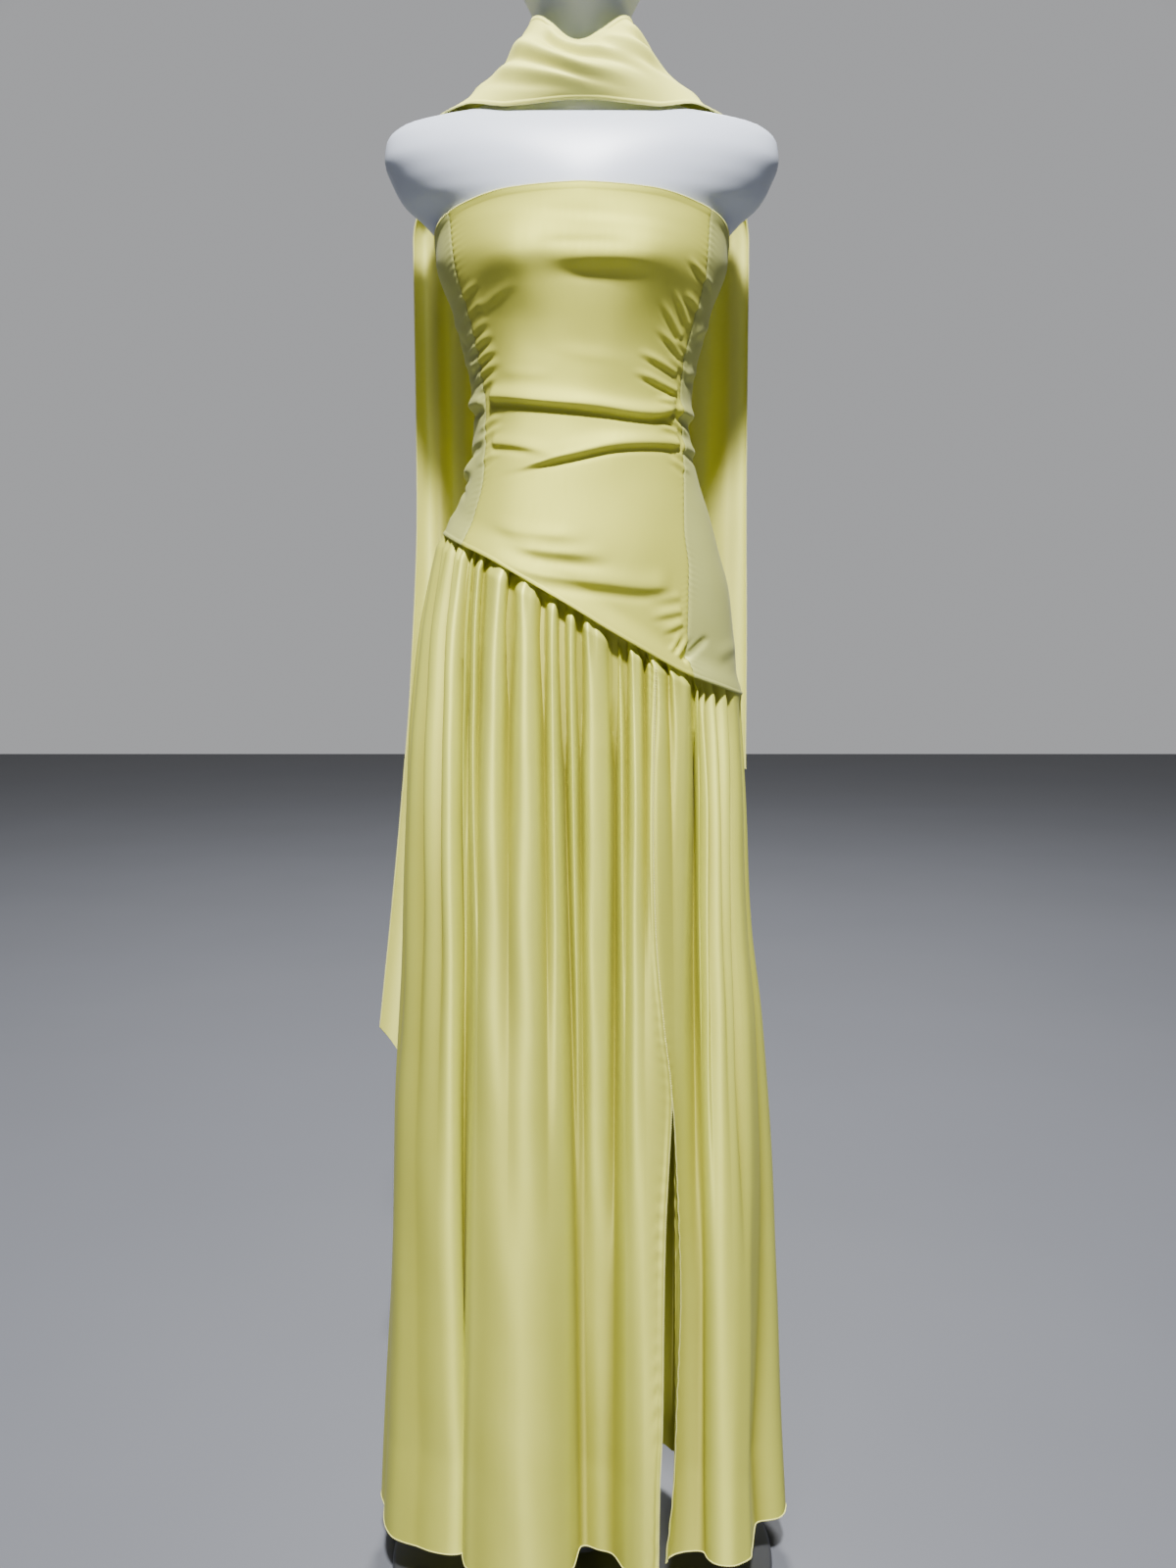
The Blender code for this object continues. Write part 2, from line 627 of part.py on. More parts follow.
def build_stand(steel, collection):
    """The round base plate with its socket, and the pole with the collar on its top."""
    rim = BASE_RADIUS
    turned("form_base", [
        (0.0, POLE_FOOT),
        (POLE_RADIUS + SEAT_GAP, POLE_FOOT),
        (POLE_RADIUS + SEAT_GAP, SOCKET_TOP),
        (SOCKET_RADIUS - 0.002, SOCKET_TOP),
        (SOCKET_RADIUS, SOCKET_TOP - 0.002),
        (SOCKET_RADIUS, BASE_CROWN + 0.003),
        (SOCKET_RADIUS + 0.004, BASE_CROWN),
        (rim - 0.012, BASE_RIM + 0.0005),
        (rim - 0.0015, BASE_RIM - 0.001),
        (rim, BASE_RIM - 0.003),
        (rim, 0.001),
        (rim - 0.001, 0.0),
        (0.0, 0.0),
    ], BASE_STEPS, steel, collection)
    top = FIGURE[0][0] - SEAT_GAP
    turned("form_pole", [
        (0.0, top),
        (COLLAR_RADIUS, top),
        (COLLAR_RADIUS, top - COLLAR_HEIGHT),
        (COLLAR_RADIUS - 0.004, top - COLLAR_HEIGHT - 0.004),
        (POLE_RADIUS, top - COLLAR_HEIGHT - 0.004),
        (POLE_RADIUS, POLE_FOOT + SEAT_GAP),
        (0.0, POLE_FOOT + SEAT_GAP),
    ], POLE_STEPS, steel, collection)


def build_figure(plastic, collection):
    """Torso, shoulder caps, neck and plain head in one smooth closed shape."""
    mesh = bpy.data.meshes.new("form_torso")
    work = bmesh.new()
    turns = [2 * math.pi * i / FIGURE_SEGMENTS for i in range(FIGURE_SEGMENTS)]
    rings = []
    for row in reversed(FIGURE):
        z = row[0]
        rings.append([work.verts.new(point_at(turn, figure_radius(turn, z), z)) for turn in turns])
    for upper, lower in zip(rings, rings[1:]):
        for i in range(FIGURE_SEGMENTS):
            j = (i + 1) % FIGURE_SEGMENTS
            work.faces.new((upper[i], lower[i], lower[j], upper[j]))
    work.faces.new(rings[0])
    work.faces.new(reversed(rings[-1]))
    work.to_mesh(mesh)
    work.free()
    mesh.shade_smooth()
    add_object("form_torso", mesh, plastic, collection)


def edge_beside(curve, shift):
    """An edge that follows a curve of angles, moved along the cloth by a distance."""
    return lambda place: curve(place) + shift / 0.13


def build_bodice(satin, collection):
    """Five panels: middle front, two beside it, and the back from side seam to side seam."""
    half_gap = SEAM_GAP / 2
    left_seam = lambda z: panel_angle(SEAM_CURVES[0](z), z)
    right_seam = lambda z: panel_angle(SEAM_CURVES[1](z), z)
    left_side = lambda z: -SIDE_SEAM
    right_side = lambda z: SIDE_SEAM
    left_behind = lambda z: 2 * math.pi - SIDE_SEAM
    panels = (
        ("bodice_front_centre", left_seam, right_seam, 10, FRONT_LEVELS),
        ("bodice_front_left", left_side, left_seam, 5, FRONT_LEVELS),
        ("bodice_front_right", right_seam, right_side, 5, FRONT_LEVELS),
        ("bodice_back", right_side, left_behind, 20, BACK_LEVELS),
    )
    for name, start, end, columns, levels in panels:
        grid = panel_grid(edge_beside(start, half_gap), edge_beside(end, -half_gap), columns, levels)
        cloth_wall(name, grid, satin, collection)


def build_skirt(satin, collection):
    """Two front panels that part at the slit, and the back."""
    half_gap = SEAM_GAP / 2
    left_count = sum(len(table) for table, _ in SKIRT_FRONT_LEFT)
    right_start = left_count + len(SLIT_STEP)
    right_end = right_start + sum(len(table) for table, _ in SKIRT_FRONT_RIGHT)
    angles = [valley[0] for valley in VALLEYS]
    slit_left = lambda fall: skirt_angle(SLIT_CURVES[0](fall), fall, False)
    slit_right = lambda fall: skirt_angle(SLIT_CURVES[1](fall), fall, False)
    left_side = lambda fall: -SIDE_SEAM
    right_side = lambda fall: SIDE_SEAM
    left_behind = lambda fall: 2 * math.pi - SIDE_SEAM
    panels = (
        ("skirt_front_left", left_side, angles[:left_count], slit_left),
        ("skirt_front_right", slit_right, angles[right_start:right_end], right_side),
        ("skirt_back", right_side, angles[right_end:], left_behind),
    )
    for name, start, inner, end in panels:
        edges = [edge_beside(start, half_gap), *inner, edge_beside(end, -half_gap)]
        cloth_wall(name, skirt_grid(edges), satin, collection)


def build_scarf(satin, collection):
    """One long scarf in three stretches: round the neck's front, and a tail behind each side."""
    over = SCARF_NECK[-1][0]
    right = scarf_curves(SCARF_NECK + SCARF_RIGHT, 1.0)
    left = scarf_curves(SCARF_NECK + SCARF_LEFT, -1.0)
    runs = [over * (2 * i / NECK_RUNS - 1) for i in range(NECK_RUNS + 1)]
    grid = [scarf_line(right if run >= 0 else left, abs(run)) for run in runs]
    cloth_wall("scarf_neck", grid, satin, collection)
    start = over + SEAM_GAP
    end = SCARF_RIGHT[-1][0]
    grid = [scarf_line(right, start + (end - start) * i / TAIL_RUNS) for i in range(TAIL_RUNS + 1)]
    cloth_wall("scarf_tail_right", grid, satin, collection)
    end = SCARF_LEFT[-1][0]
    grid = [scarf_line(left, start + (end - start) * i / TAIL_RUNS) for i in range(TAIL_RUNS + 1)]
    cloth_wall("scarf_tail_left", [line[::-1] for line in grid], satin, collection)


def main():
    for shape in list(bpy.data.objects):
        bpy.data.objects.remove(shape, do_unlink=True)
    collection = bpy.data.collections.new(COLLECTION)
    bpy.context.scene.collection.children.link(collection)
    steel = make_material("brushed_steel", (0.56, 0.56, 0.57), 0.30, 1.0)
    plastic = make_material("white_form", (0.80, 0.82, 0.85), 0.38)
    satin = make_material("pale_yellow_satin", (0.86, 0.82, 0.46), 0.45)
    build_stand(steel, collection)
    build_figure(plastic, collection)
    build_bodice(satin, collection)
    build_skirt(satin, collection)
    build_scarf(satin, collection)


main()
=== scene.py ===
"""Looks of the strapless satin gown and its scarf, on the limbless dress form.

Every cloth piece is a thin shell on the form of its solid, in metres, +Z up. The front
faces -Y. An angle round the figure is 0 at the front, +90 degrees at the viewer's right
and 180 degrees at the back. Left and right are the viewer's.
"""

import math

import bmesh
import bpy
import numpy as np
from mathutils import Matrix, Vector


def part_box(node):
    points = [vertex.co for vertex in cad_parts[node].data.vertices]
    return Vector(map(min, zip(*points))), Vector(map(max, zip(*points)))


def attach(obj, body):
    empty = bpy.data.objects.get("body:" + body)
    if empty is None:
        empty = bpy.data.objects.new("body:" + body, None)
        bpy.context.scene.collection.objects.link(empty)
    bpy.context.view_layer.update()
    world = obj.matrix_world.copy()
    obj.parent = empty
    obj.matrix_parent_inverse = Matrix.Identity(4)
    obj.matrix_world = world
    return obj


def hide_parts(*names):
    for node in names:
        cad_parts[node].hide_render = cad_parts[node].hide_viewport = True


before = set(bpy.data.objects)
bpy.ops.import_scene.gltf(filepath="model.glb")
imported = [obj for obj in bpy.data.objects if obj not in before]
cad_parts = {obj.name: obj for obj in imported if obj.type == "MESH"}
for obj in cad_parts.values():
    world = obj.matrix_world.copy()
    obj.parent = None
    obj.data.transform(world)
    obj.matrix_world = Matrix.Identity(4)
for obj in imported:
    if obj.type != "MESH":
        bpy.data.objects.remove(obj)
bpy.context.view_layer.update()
BODY = "root"
RANDOM = np.random.default_rng(83)
FULL_TURN = 2 * math.pi


def metres(units, *rows):
    """A table whose columns marked m are written in millimetres, and others as they are."""
    return tuple(
        tuple(value / 1000 if unit == "m" else value for unit, value in zip(units, row))
        for row in rows
    )


def crease_table(step, *rows):
    """Creases written in millimetres. Tracks are a, z, a, z and so on, and one a is a step long."""
    return tuple(
        (tuple((a * step, z / 1000) for a, z in zip(track[::2], track[1::2])),
         *(size / 1000 for size in sizes[:4]), *sizes[4:])
        for track, *sizes in rows
    )


# Metres of cloth that a radian is worth: on the bodice, round its sides, on the skirt, and
# between the skirt's folds
BODICE_TURN = 0.12
ROUND_TURN = 0.115
SKIRT_TURN = 0.13
FOLDS_TURN = 0.14
DEGREE = ROUND_TURN * math.pi / 180

# The photo's camera: place, how far it looks down, focal length in pixels of its height
CAMERA_SPOT = (0.006, -1.340, 1.000)
CAMERA_DOWN = math.radians(6.82)
FOCAL_PIXELS = 1355.0
PHOTO_HEIGHT = 1600.0
SENSOR = 36.0

# The dress form's sections: z, half_width, front, back, fullness
FIGURE = metres(
    "mmmm-",
    (838, 60, 40, 42, 2), (842, 105, 66, 70, 2.1), (852, 129, 81, 88, 2.2),
    (870, 142, 89, 98, 2.25), (900, 148, 94, 105, 2.3), (950, 150, 97, 110, 2.3),
    (993, 147, 98, 110, 2.3), (1033, 142, 96, 105, 2.3), (1074, 131, 93, 96, 2.3),
    (1108, 121, 89, 88, 2.3), (1138, 111, 85, 80, 2.3), (1165, 105, 81, 75, 2.3),
    (1192, 102, 78, 72, 2.3), (1218, 103, 79, 72, 2.3), (1245, 107, 83, 76, 2.3),
    (1275, 115, 90, 82, 2.3), (1305, 123, 97, 87, 2.3), (1322, 130, 100, 89, 2.28),
    (1343, 136.5, 102, 92, 2.22), (1365, 138, 101, 94, 2.1), (1385, 153, 99, 95, 1.8),
    (1402, 172, 96, 95, 1.85), (1420, 182, 91, 93, 2), (1440, 189, 83, 90, 2.15),
    (1456, 187, 74, 85, 2.2), (1468, 176, 64, 77, 2.2), (1473, 157, 59, 70, 2.2),
    (1478, 130, 55, 65, 2.1), (1486, 103, 52, 60, 2), (1498, 77, 49, 56, 2),
    (1515, 58, 47, 52, 2), (1535, 45, 45, 48, 2), (1553, 41, 58, 48, 1.9),
    (1572, 46, 73, 54, 1.9), (1605, 61, 84, 73, 2), (1650, 73, 91, 90, 2), (1695, 73, 86, 93, 2),
    (1735, 57, 65, 74, 2), (1760, 31, 35, 41, 2), (1769, 12, 13, 15, 2),
)
BUST_X = 0.060
BUST_Z = 1.328
BUST_RISE = 0.010
BUST_WIDTH = 0.036
BUST_HEIGHT = 0.034

# Bodice: its top edge by degrees from the front and z, the hip seam by x and z, and the
# two long seams by z, left_x and right_x
TOP_EDGE = metres(
    "-m",
    (0, 1393), (35, 1391), (60, 1383), (78, 1371), (95, 1356), (140, 1350), (180, 1348),
)
HIP_SEAM = metres(
    "mm",
    (-156, 1090), (-129, 1078), (-84, 1059), (-48, 1039), (-12, 1018), (24, 995), (61, 973),
    (97, 953), (125, 942), (160, 928),
)
PANEL_SEAMS = metres(
    "mmm",
    (950, -110, 96), (1050, -108, 98), (1090, -102, 94), (1140, -90, 94), (1175, -88, 93),
    (1205, -88, 90), (1240, -92, 92), (1285, -101, 102), (1330, -113, 112), (1395, -122, 117),
)
CLOTH = 0.0009
BODICE_LIFT = 0.0040
BODICE_LEAST = 0.0015
SOFT_STOP = 0.001
SEAM_REACH = 0.0074
FLARE_HEIGHT = 0.030
# How far the bodice's lower edge stands off the skirt: x, flare
EDGE_FLARE = metres(
    "mm",
    (-156, 6), (-60, 6.8), (20, 8.8), (90, 8.8), (160, 6.2),
)

# Creases of the bodice's front. Each has its track of x and z, then how far it stands out,
# its spread above and below, the depth of the hollow under it, and the shares of its
# length over which it starts and ends. A negative rise is a hollow.
FRONT_CREASES = crease_table(
    0.001,
    ((-88, 1213.5, -67, 1210.5, -32, 1205, 14, 1200.7, 49, 1195.4, 73, 1196, 89, 1204.5),
     6, 8.8, 3, 1.4, 0.04, 0.04),
    ((-86, 1171, -67.5, 1169, -42, 1162.7, -18, 1157), 2.4, 7, 3.4, 1.2, 0.08, 0.5),
    ((-82, 1142.7, -61, 1144.4, -33, 1151.7, 0, 1159, 28.5, 1166.2, 61, 1169, 94, 1170),
     5, 9.5, 3, 1.2, 0.35, 0.03),
    ((-100, 1072, -45.6, 1048.5, -13, 1042.8, 21.4, 1039, 55.7, 1034.4, 86.6, 1036.8),
     3.4, 12, 5, 1.2, 0.45, 0.1),
    ((-89.4, 1095.7, -54.3, 1086, -12.9, 1081.5, 12, 1080), 1.8, 7.5, 5, 0.9, 0.3, 0.4),
    ((-77.7, 1079.7, -45.3, 1070, 9.6, 1064, 32, 1063), 2.6, 8.5, 4.8, 1.4, 0.35, 0.4),
    ((-40, 1325, 0, 1326.2, 40, 1325.2, 75, 1322), 2.6, 9, 6, 1, 0.45, 0.4),
    ((-112, 1329, -50, 1334, 10, 1333, 60, 1332, 112, 1326), 5.2, 25, 15, 0, 0.25, 0.25),
    ((-100, 1090, 0, 1076, 100, 1040), 3.6, 34, 30, 0, 0.3, 0.3),
    ((-85, 1264, 0, 1260, 85, 1258), -2, 26, 22, 0, 0.3, 0.3),
    ((-45, 1338.5, 0, 1339.5, 48, 1337.5), -1.3, 5, 4.5, 0, 0.35, 0.35),
    ((-70, 1370, 10, 1366, 80, 1361), -0.7, 6, 5, 0, 0.4, 0.4),
    ((-30, 1358, 30, 1356, 100, 1350), 0.6, 6, 5, 0, 0.4, 0.3),
    ((50, 1251, 62, 1246.7, 76, 1240.5, 90, 1235), 2, 4, 2.2, 0.8, 0.45, 0.04),
    ((46, 1233.5, 62, 1228.5, 76, 1222.5, 90, 1218.5), 2.5, 4, 2.2, 1, 0.45, 0.04),
    ((68, 1273, 81, 1262.4, 95, 1249), 1.8, 3.4, 2.2, 0.8, 0.5, 0.06),
    ((71, 1296, 83, 1280, 93, 1265), 1.6, 3.2, 2.2, 0.7, 0.5, 0.06),
    ((84, 1305, 93, 1290, 100, 1276), 1.6, 2.8, 2.2, 0.7, 0.45, 0.08),
    ((66, 1210.5, 78, 1209, 89, 1211), 1.4, 2.6, 2, 0.8, 0.5, 0.06),
    ((70, 1185, 82, 1183.5, 91, 1182), 1.6, 2.6, 2, 1, 0.5, 0.05),
    ((66, 1178, 80, 1177, 92, 1175), -1, 2.2, 2, 0, 0.5, 0.05),
    ((60, 1007.5, 76, 1009.9, 94, 1013.5), 1.5, 4.2, 2.8, 0.9, 0.6, 0.05),
    ((72, 994, 85, 997.5, 94.5, 1002.5), 1.5, 3.6, 2.6, 1, 0.6, 0.05),
    ((56, 1024, 76, 1024.5, 94, 1027.5), 1, 4, 3.2, 0.6, 0.6, 0.1),
    ((94, 965, 107, 976, 122.5, 990.5), -4.4, 3.4, 3, 0, 0.12, 0.35),
    ((88, 969, 96, 981, 102, 993), 2, 2.6, 2.2, 1.2, 0.2, 0.45),
    ((82, 974, 89, 985, 95, 996), 1.6, 2.4, 2, 1, 0.2, 0.5),
    ((-40, 1256, 5, 1246, 50, 1242), 0.7, 8, 6, 0, 0.5, 0.5),
    ((-80, 1235, -50, 1230, -20, 1229), 0.7, 6, 5, 0, 0.3, 0.5),
    ((-95, 1288, -75, 1300, -55, 1308), 1, 5, 3.5, 0.3, 0.1, 0.6),
)
# Small ruches across the long seams: z of each, then how far they reach and stand out
LEFT_SEAM_RUCHES = (1.306, 1.290, 1.274, 1.262, 1.249, 1.237, 1.226, 1.190, 1.180, 1.157)
RIGHT_SEAM_RUCHES = (1.322, 1.296, 1.258, 1.241, 1.203, 1.188, 1.160, 1.150)
RUCHE_REACH = 0.013
RUCHE_RISE = 0.0015
# Creases of the sides and back, with tracks of degrees round from the front and z
ROUND_CREASES = crease_table(
    DEGREE,
    ((-92, 1160, -76, 1166, -60, 1168), -3.4, 5, 4.5, 0, 0.1, 0.35),
    ((-100, 1142, -84, 1150, -66, 1149), 4.2, 8.5, 5, 2, 0.3, 0.4),
    ((-96, 1138, -82, 1130, -68, 1120), -2.6, 4, 3.4, 0, 0.25, 0.4),
    ((-112, 1214, -86, 1212, -62, 1210), 4.4, 8, 4.5, 1.8, 0.45, 0.1),
    ((-100, 1100, -84, 1106, -70, 1101), 1.6, 8, 6, 1, 0.4, 0.4),
    ((-88, 1295, -78, 1280, -66, 1270), 1.6, 6, 5, 1, 0.3, 0.3),
    ((-92, 1256, -78, 1248, -64, 1244), 1.5, 5, 4.4, 0.8, 0.4, 0.2),
    ((60, 1203, 80, 1200, 106, 1206), 3.8, 7.5, 4.4, 1.8, 0.08, 0.45),
    ((62, 1169, 82, 1167, 100, 1170), 3, 7, 4.2, 1.4, 0.08, 0.5),
    ((64, 1236, 78, 1240, 92, 1246), 1.4, 5, 4, 0.8, 0.2, 0.4),
    ((64, 1272, 76, 1279, 90, 1290), 1.4, 6, 4.6, 0.8, 0.2, 0.4),
    ((62, 970, 74, 978, 88, 980), 1, 7, 5.5, 0.6, 0.3, 0.5),
    ((104, 1210, 140, 1199, 180, 1203, 222, 1196, 256, 1211), 5.6, 10, 4.5, 2.4, 0.2, 0.18),
    ((110, 1168, 150, 1172, 190, 1161, 232, 1148), 4.6, 10, 4.6, 2, 0.2, 0.35),
    ((128, 1135, 170, 1130, 210, 1136, 250, 1150), 3, 10, 5.5, 1.4, 0.4, 0.25),
    ((112, 1242, 140, 1236, 172, 1237), 2, 8, 5, 1, 0.2, 0.55),
    ((192, 1244, 222, 1240, 250, 1252), 2, 8, 5, 1, 0.55, 0.2),
    ((120, 1030, 155, 1042, 195, 1066, 235, 1096), 3, 13, 7, 1.6, 0.3, 0.35),
    ((104, 990, 130, 998, 160, 1012), 1.8, 9, 6, 1, 0.2, 0.5),
    ((205, 1112, 230, 1121, 255, 1118), 1.8, 8, 6, 1, 0.4, 0.3),
    ((118, 1302, 150, 1296, 185, 1298), 1.4, 9, 6, 0.8, 0.35, 0.45),
)
SEAM_GROOVE = 0.0007
SEAM_GROOVE_SPREAD = 0.0013
SEAM_PUCKER = 0.00035
SEAM_PUCKER_REACH = 0.0065
# Waves of the puckers along the seams and the slit: their length, how much it drifts and over
# what length, then how uneven they are, over what length, and where that starts
SEAM_WAVES = (0.0062, (2.2, 0.031), (0.4, 0.017, 0.0))
SLIT_WAVES = (0.0078, (1.6, 0.043), (0.35, 0.029, 1.0))
# Width and height of the rolled and turned edges
ROLLS = {"hem": (0.0042, 0.0008), "slit": (0.0044, 0.0008), "top": (0.0065, 0.0005),
         "seam": (0.0040, 0.0009)}
SCARF_ROLLS = {"start": (0.0036, 0.0007), "end": (0.0036, 0.0007), "bottom": (0.0040, 0.0007)}
# How far the cloth's soft unevenness moves it
UNEVEN_RISE = {"bodice": 0.00045, "skirt": 0.0007, "hem": 0.0004, "drape": 0.0006,
               "neck": 0.0004, "tail": 0.0008}
# Painted shade and highlight in the folds: how far along the cloth a fold is measured, the
# height at which the painting is near full, and what a valley's painted shade and a ridge's painted
# highlight add to red, green and blue
FOLD_WINDOW = 0.020
FOLD_HEIGHT = 0.0045
FOLD_SHADE_AND_HIGHLIGHT = ((-0.36, -0.40, -0.62), (0.20, 0.21, 0.24))

# Skirt: the envelope that its folds reach: z, left, right, front, back, fullness
SKIRT = metres(
    "mmmmm-",
    (50, 225, 221, 122, 146, 2.6), (200, 216, 212, 121, 144, 2.55),
    (310, 208, 207, 120, 142, 2.5), (500, 198, 195, 119, 140, 2.45),
    (600, 191, 186, 119, 138, 2.4), (690, 185, 175, 119, 136, 2.35),
    (800, 180, 167, 119, 132, 2.3), (880, 175, 162, 118, 129, 2.25),
    (940, 169, 158, 116, 126, 2.2), (990, 163, 156, 114, 122, 2.2),
    (1040, 153, 150, 111, 116, 2.2), (1095, 140, 140, 106, 106, 2.2),
)
HEM_Z = 0.050
SEAM_LIFT = 0.0105
BODY_CLEARANCE = 0.0016
SPREAD_FALL = 0.013
TUCK = 0.008
TUCK_LIFT = 0.0050
TUCK_GATHER = 0.4
# Folds of the upper skirt, each by the valley on its right: x at the seam, mid height and
# hem, depth at the seam and mid height, half width at mid height. They fade lower down.
FRONT_LEFT_FOLDS = metres(
    "mmmmmm",
    (-136, -166, -200, 4, 5, 8), (-125, -148, -176, 6, 7.5, 8), (-111, -121, -140, 8, 15, 3.2),
    (-101.5, -108.5, -121.5, 6, 14, 3.2), (-90, -100, -112, 6, 4, 4), (-64, -70, -76, 7, 5.5, 9),
    (-35, -33, -34, 8, 7, 6.5), (-18.5, -11.5, -5.3, 9, 17, 3.4), (-2, 0.5, 8, 6, 8, 3.6),
    (30, 32, 31, 6, 16, 4), (41, 42, 45.2, 6, 6.5, 3.6), (58.5, 60, 62, 6, 1, 5),
)
FRONT_RIGHT_FOLDS = metres(
    "mmmmmm",
    (80, 90, 97, 2, 0.5, 5.5), (107, 111, 118, 8, 21, 6), (116.5, 126, 129, 6, 9, 5),
    (125.5, 138, 142, 6, 11, 5), (135.5, 150, 156, 6, 6, 5), (145, 161, 172, 4, 13, 4.5),
)
# The back's folds are the builder's: two more columns give each valley's depth at the hem,
# and how far the next fold is set back there
BACK_FOLDS = metres(
    "mmmmmmmm",
    (143, 168, 196, 3, 4, 6, 6, 4), (128, 150, 172, 5, 6, 5, 20, 10),
    (108, 128, 139, 4, 3, 9, 1, 4), (90, 103, 106, 6, 6, 4, 24, 20), (71, 81, 81, 4, 3, 9, 2, 22),
    (52, 56, 54, 5, 5, 5, 14, 0), (34, 37, 34, 6, 3, 9, 1, 0), (17, 16, 10, 5, 6, 4, 22, 12),
    (-3, -4, -14, 5, 3, 10, 3, 6), (-24, -28, -40, 6, 6, 4, 24, 24),
    (-45, -52, -64, 4, 3, 9, 2, 26), (-66, -78, -88, 5, 5, 5, 15, 0),
    (-86, -99, -111, 6, 3, 9, 1, 0), (-105, -121, -137, 4, 6, 4, 21, 10),
    (-124, -145, -166, 5, 3, 9, 3, 12), (-139, -166, -197, 3, 5, 6, 9, 0),
)
# Valleys at the skirt's sides, in degrees round from the front at the three heights
LEFT_SIDE_FRONT = ((-83, -80, -83, 0.003, 0.003, 0.007),)
RIGHT_SIDE_FRONT = ((82, 79, 82, 0.003, 0.004, 0.006),)
RIGHT_SIDE_BACK = ((98, 101, 100, 0.003, 0.004, 0.007, 0.010, 0.0),)
LEFT_SIDE_BACK = ((262, 258, 260, 0.003, 0.004, 0.007, 0.010, 0.0),)
FRONT_TABLES = (
    (LEFT_SIDE_FRONT, "side"), (FRONT_LEFT_FOLDS, "front"), (FRONT_RIGHT_FOLDS, "front"),
    (RIGHT_SIDE_FRONT, "side"),
)
BACK_TABLES = ((RIGHT_SIDE_BACK, "side"), (BACK_FOLDS, "back"), (LEFT_SIDE_BACK, "side"))
# The tables' mid height as a fall, then a lower fall, where a fold has these shares of its
# depth and half width
MID_FALL = 0.4
LOW_FALL = 0.8
LOW_DEPTH = 0.6
LOW_WIDTH = 1.4
VALLEY_FOOT = 0.0026
VALLEY_SPREAD = 0.08
VALLEY_BOOST = 1.2
BOOST_FALL = 0.17
FOLDS_FADE = (0.36, 0.70)
TUBE_SHARE = 0.22
TUBE_LIMIT = 0.0065
TUBE_POWER = 2.2
TUBES_FADE = (0.10, 0.46)
SIDE_TUBE = 0.0025
# Large folds of the lower skirt, as the hem's line on the floor shows them: x at the hem, or
# degrees round where it says so, and how far the hem lies behind the skirt's outermost form.
# They grow from nothing at the seam.
LEFT_HEM = metres(
    "mm",
    (-224.5, 10), (-215, 14.5), (-205, 23.5), (-199, 29), (-185, 32), (-171, 36), (-150, 44),
    (-136, 51), (-130.5, 57.5), (-128, 59), (-126.2, 53), (-124, 35), (-121.5, 21.5), (-118, 16),
    (-108, 11.5), (-101, 8.2), (-93, 5), (-83, 2.3), (-72, 0.6), (-62, 0), (-52, 1), (-42, 3.2),
    (-33, 6.2), (-25, 10), (-18, 14.8), (-12.5, 19.5), (-8.5, 26), (-6.2, 36), (-4.5, 50),
    (-2, 57), (4, 58.5), (10, 56), (16, 52.5), (21, 50.8), (26, 49.2), (31, 46), (34.5, 41),
    (38, 32.5), (42, 24), (48, 17), (54, 11.5), (62, 7), (76.3, 3.5),
)
RIGHT_HEM = metres(
    "mm",
    (85, 29), (88.5, 35), (94.5, 40), (107, 42), (119.5, 40.5), (127, 36.5), (134.5, 31),
    (141, 22), (147, 15.6), (155, 10), (162, 7), (170, 7.5),
)
RIGHT_HEM_SIDE = metres(
    "-m",
    (64.5, 9), (67, 16), (70, 22.5), (75, 30.5), (80, 34), (82.3, 32), (83.6, 13), (86.8, 3),
    (90, 0),
)
LARGE_GROWTH = 0.95
SIDE_GROWTH = 1.4
LARGE_FALL = 0.90
# The large folds' curves are softened over this many steps of this many radians
FOLD_STEP = 0.0015
FOLD_REACH = 24
SLIT_OVERLAP = 0.0045
SLIT_SET_BACK = 0.0030
SLIT_PUCKER = 0.00075
# Falls over which the slit opens, the right panel's step behind it ends, its puckers start
SLIT_OPENS = (0.36, 0.48)
SET_BACK_ENDS = (0.36, 0.50)
PUCKERS_START = (0.30, 0.40)
# At the back, a large fold is at least this deep, and its walls are this share of its depth
# wide, up to a limit
LARGE_LEAST = 0.006
WALL_SHARE = 0.30
WALL_LIMIT = 0.005
# Small gathers under the hip seam, listed on the front: x at the seam, x where it ends,
# the fall where it ends, depth, half width
FRONT_GATHERS = metres(
    "mm-mm",
    (-131, -146, 0.1, 4.2, 2.6), (-118.5, -128, 0.12, 4.5, 2.6), (-104, -113, 0.14, 3.6, 3),
    (-98, -104, 0.07, 3.1, 2.4), (-83, -90, 0.11, 3.9, 2.6), (-66, -71, 0.2, 6.7, 3.6),
    (-48, -50, 0.07, 3.4, 2.8), (-41.5, -40, 0.18, 6.4, 3), (-28, -26, 0.08, 3.6, 2.6),
    (-11, -10, 0.07, 3.6, 2.6), (-3, -2, 0.16, 7, 3), (11, 11, 0.08, 3.6, 2.8),
    (29, 30, 0.12, 12.5, 8), (38.5, 37, 0.11, 4.8, 2.6), (51, 51, 0.14, 4.8, 2.8),
    (64, 66, 0.1, 6.2, 3), (76, 80, 0.07, 3.6, 2.4), (81.5, 89, 0.14, 5.6, 2.8),
    (92.5, 98, 0.07, 3.4, 2.6), (107, 116, 0.24, 6.2, 3.2), (119.5, 128, 0.13, 4.8, 2.6),
    (132, 143, 0.15, 5.3, 2.6), (142.5, 154, 0.12, 4.2, 2.4),
)
# On the back they are drawn at random: spacing, then the spans of end fall, depth, half width
BACK_GATHER_SPACING = 0.0105
BACK_GATHER_SPANS = ((0.06, 0.18), (0.0022, 0.0044), (0.0022, 0.0034))
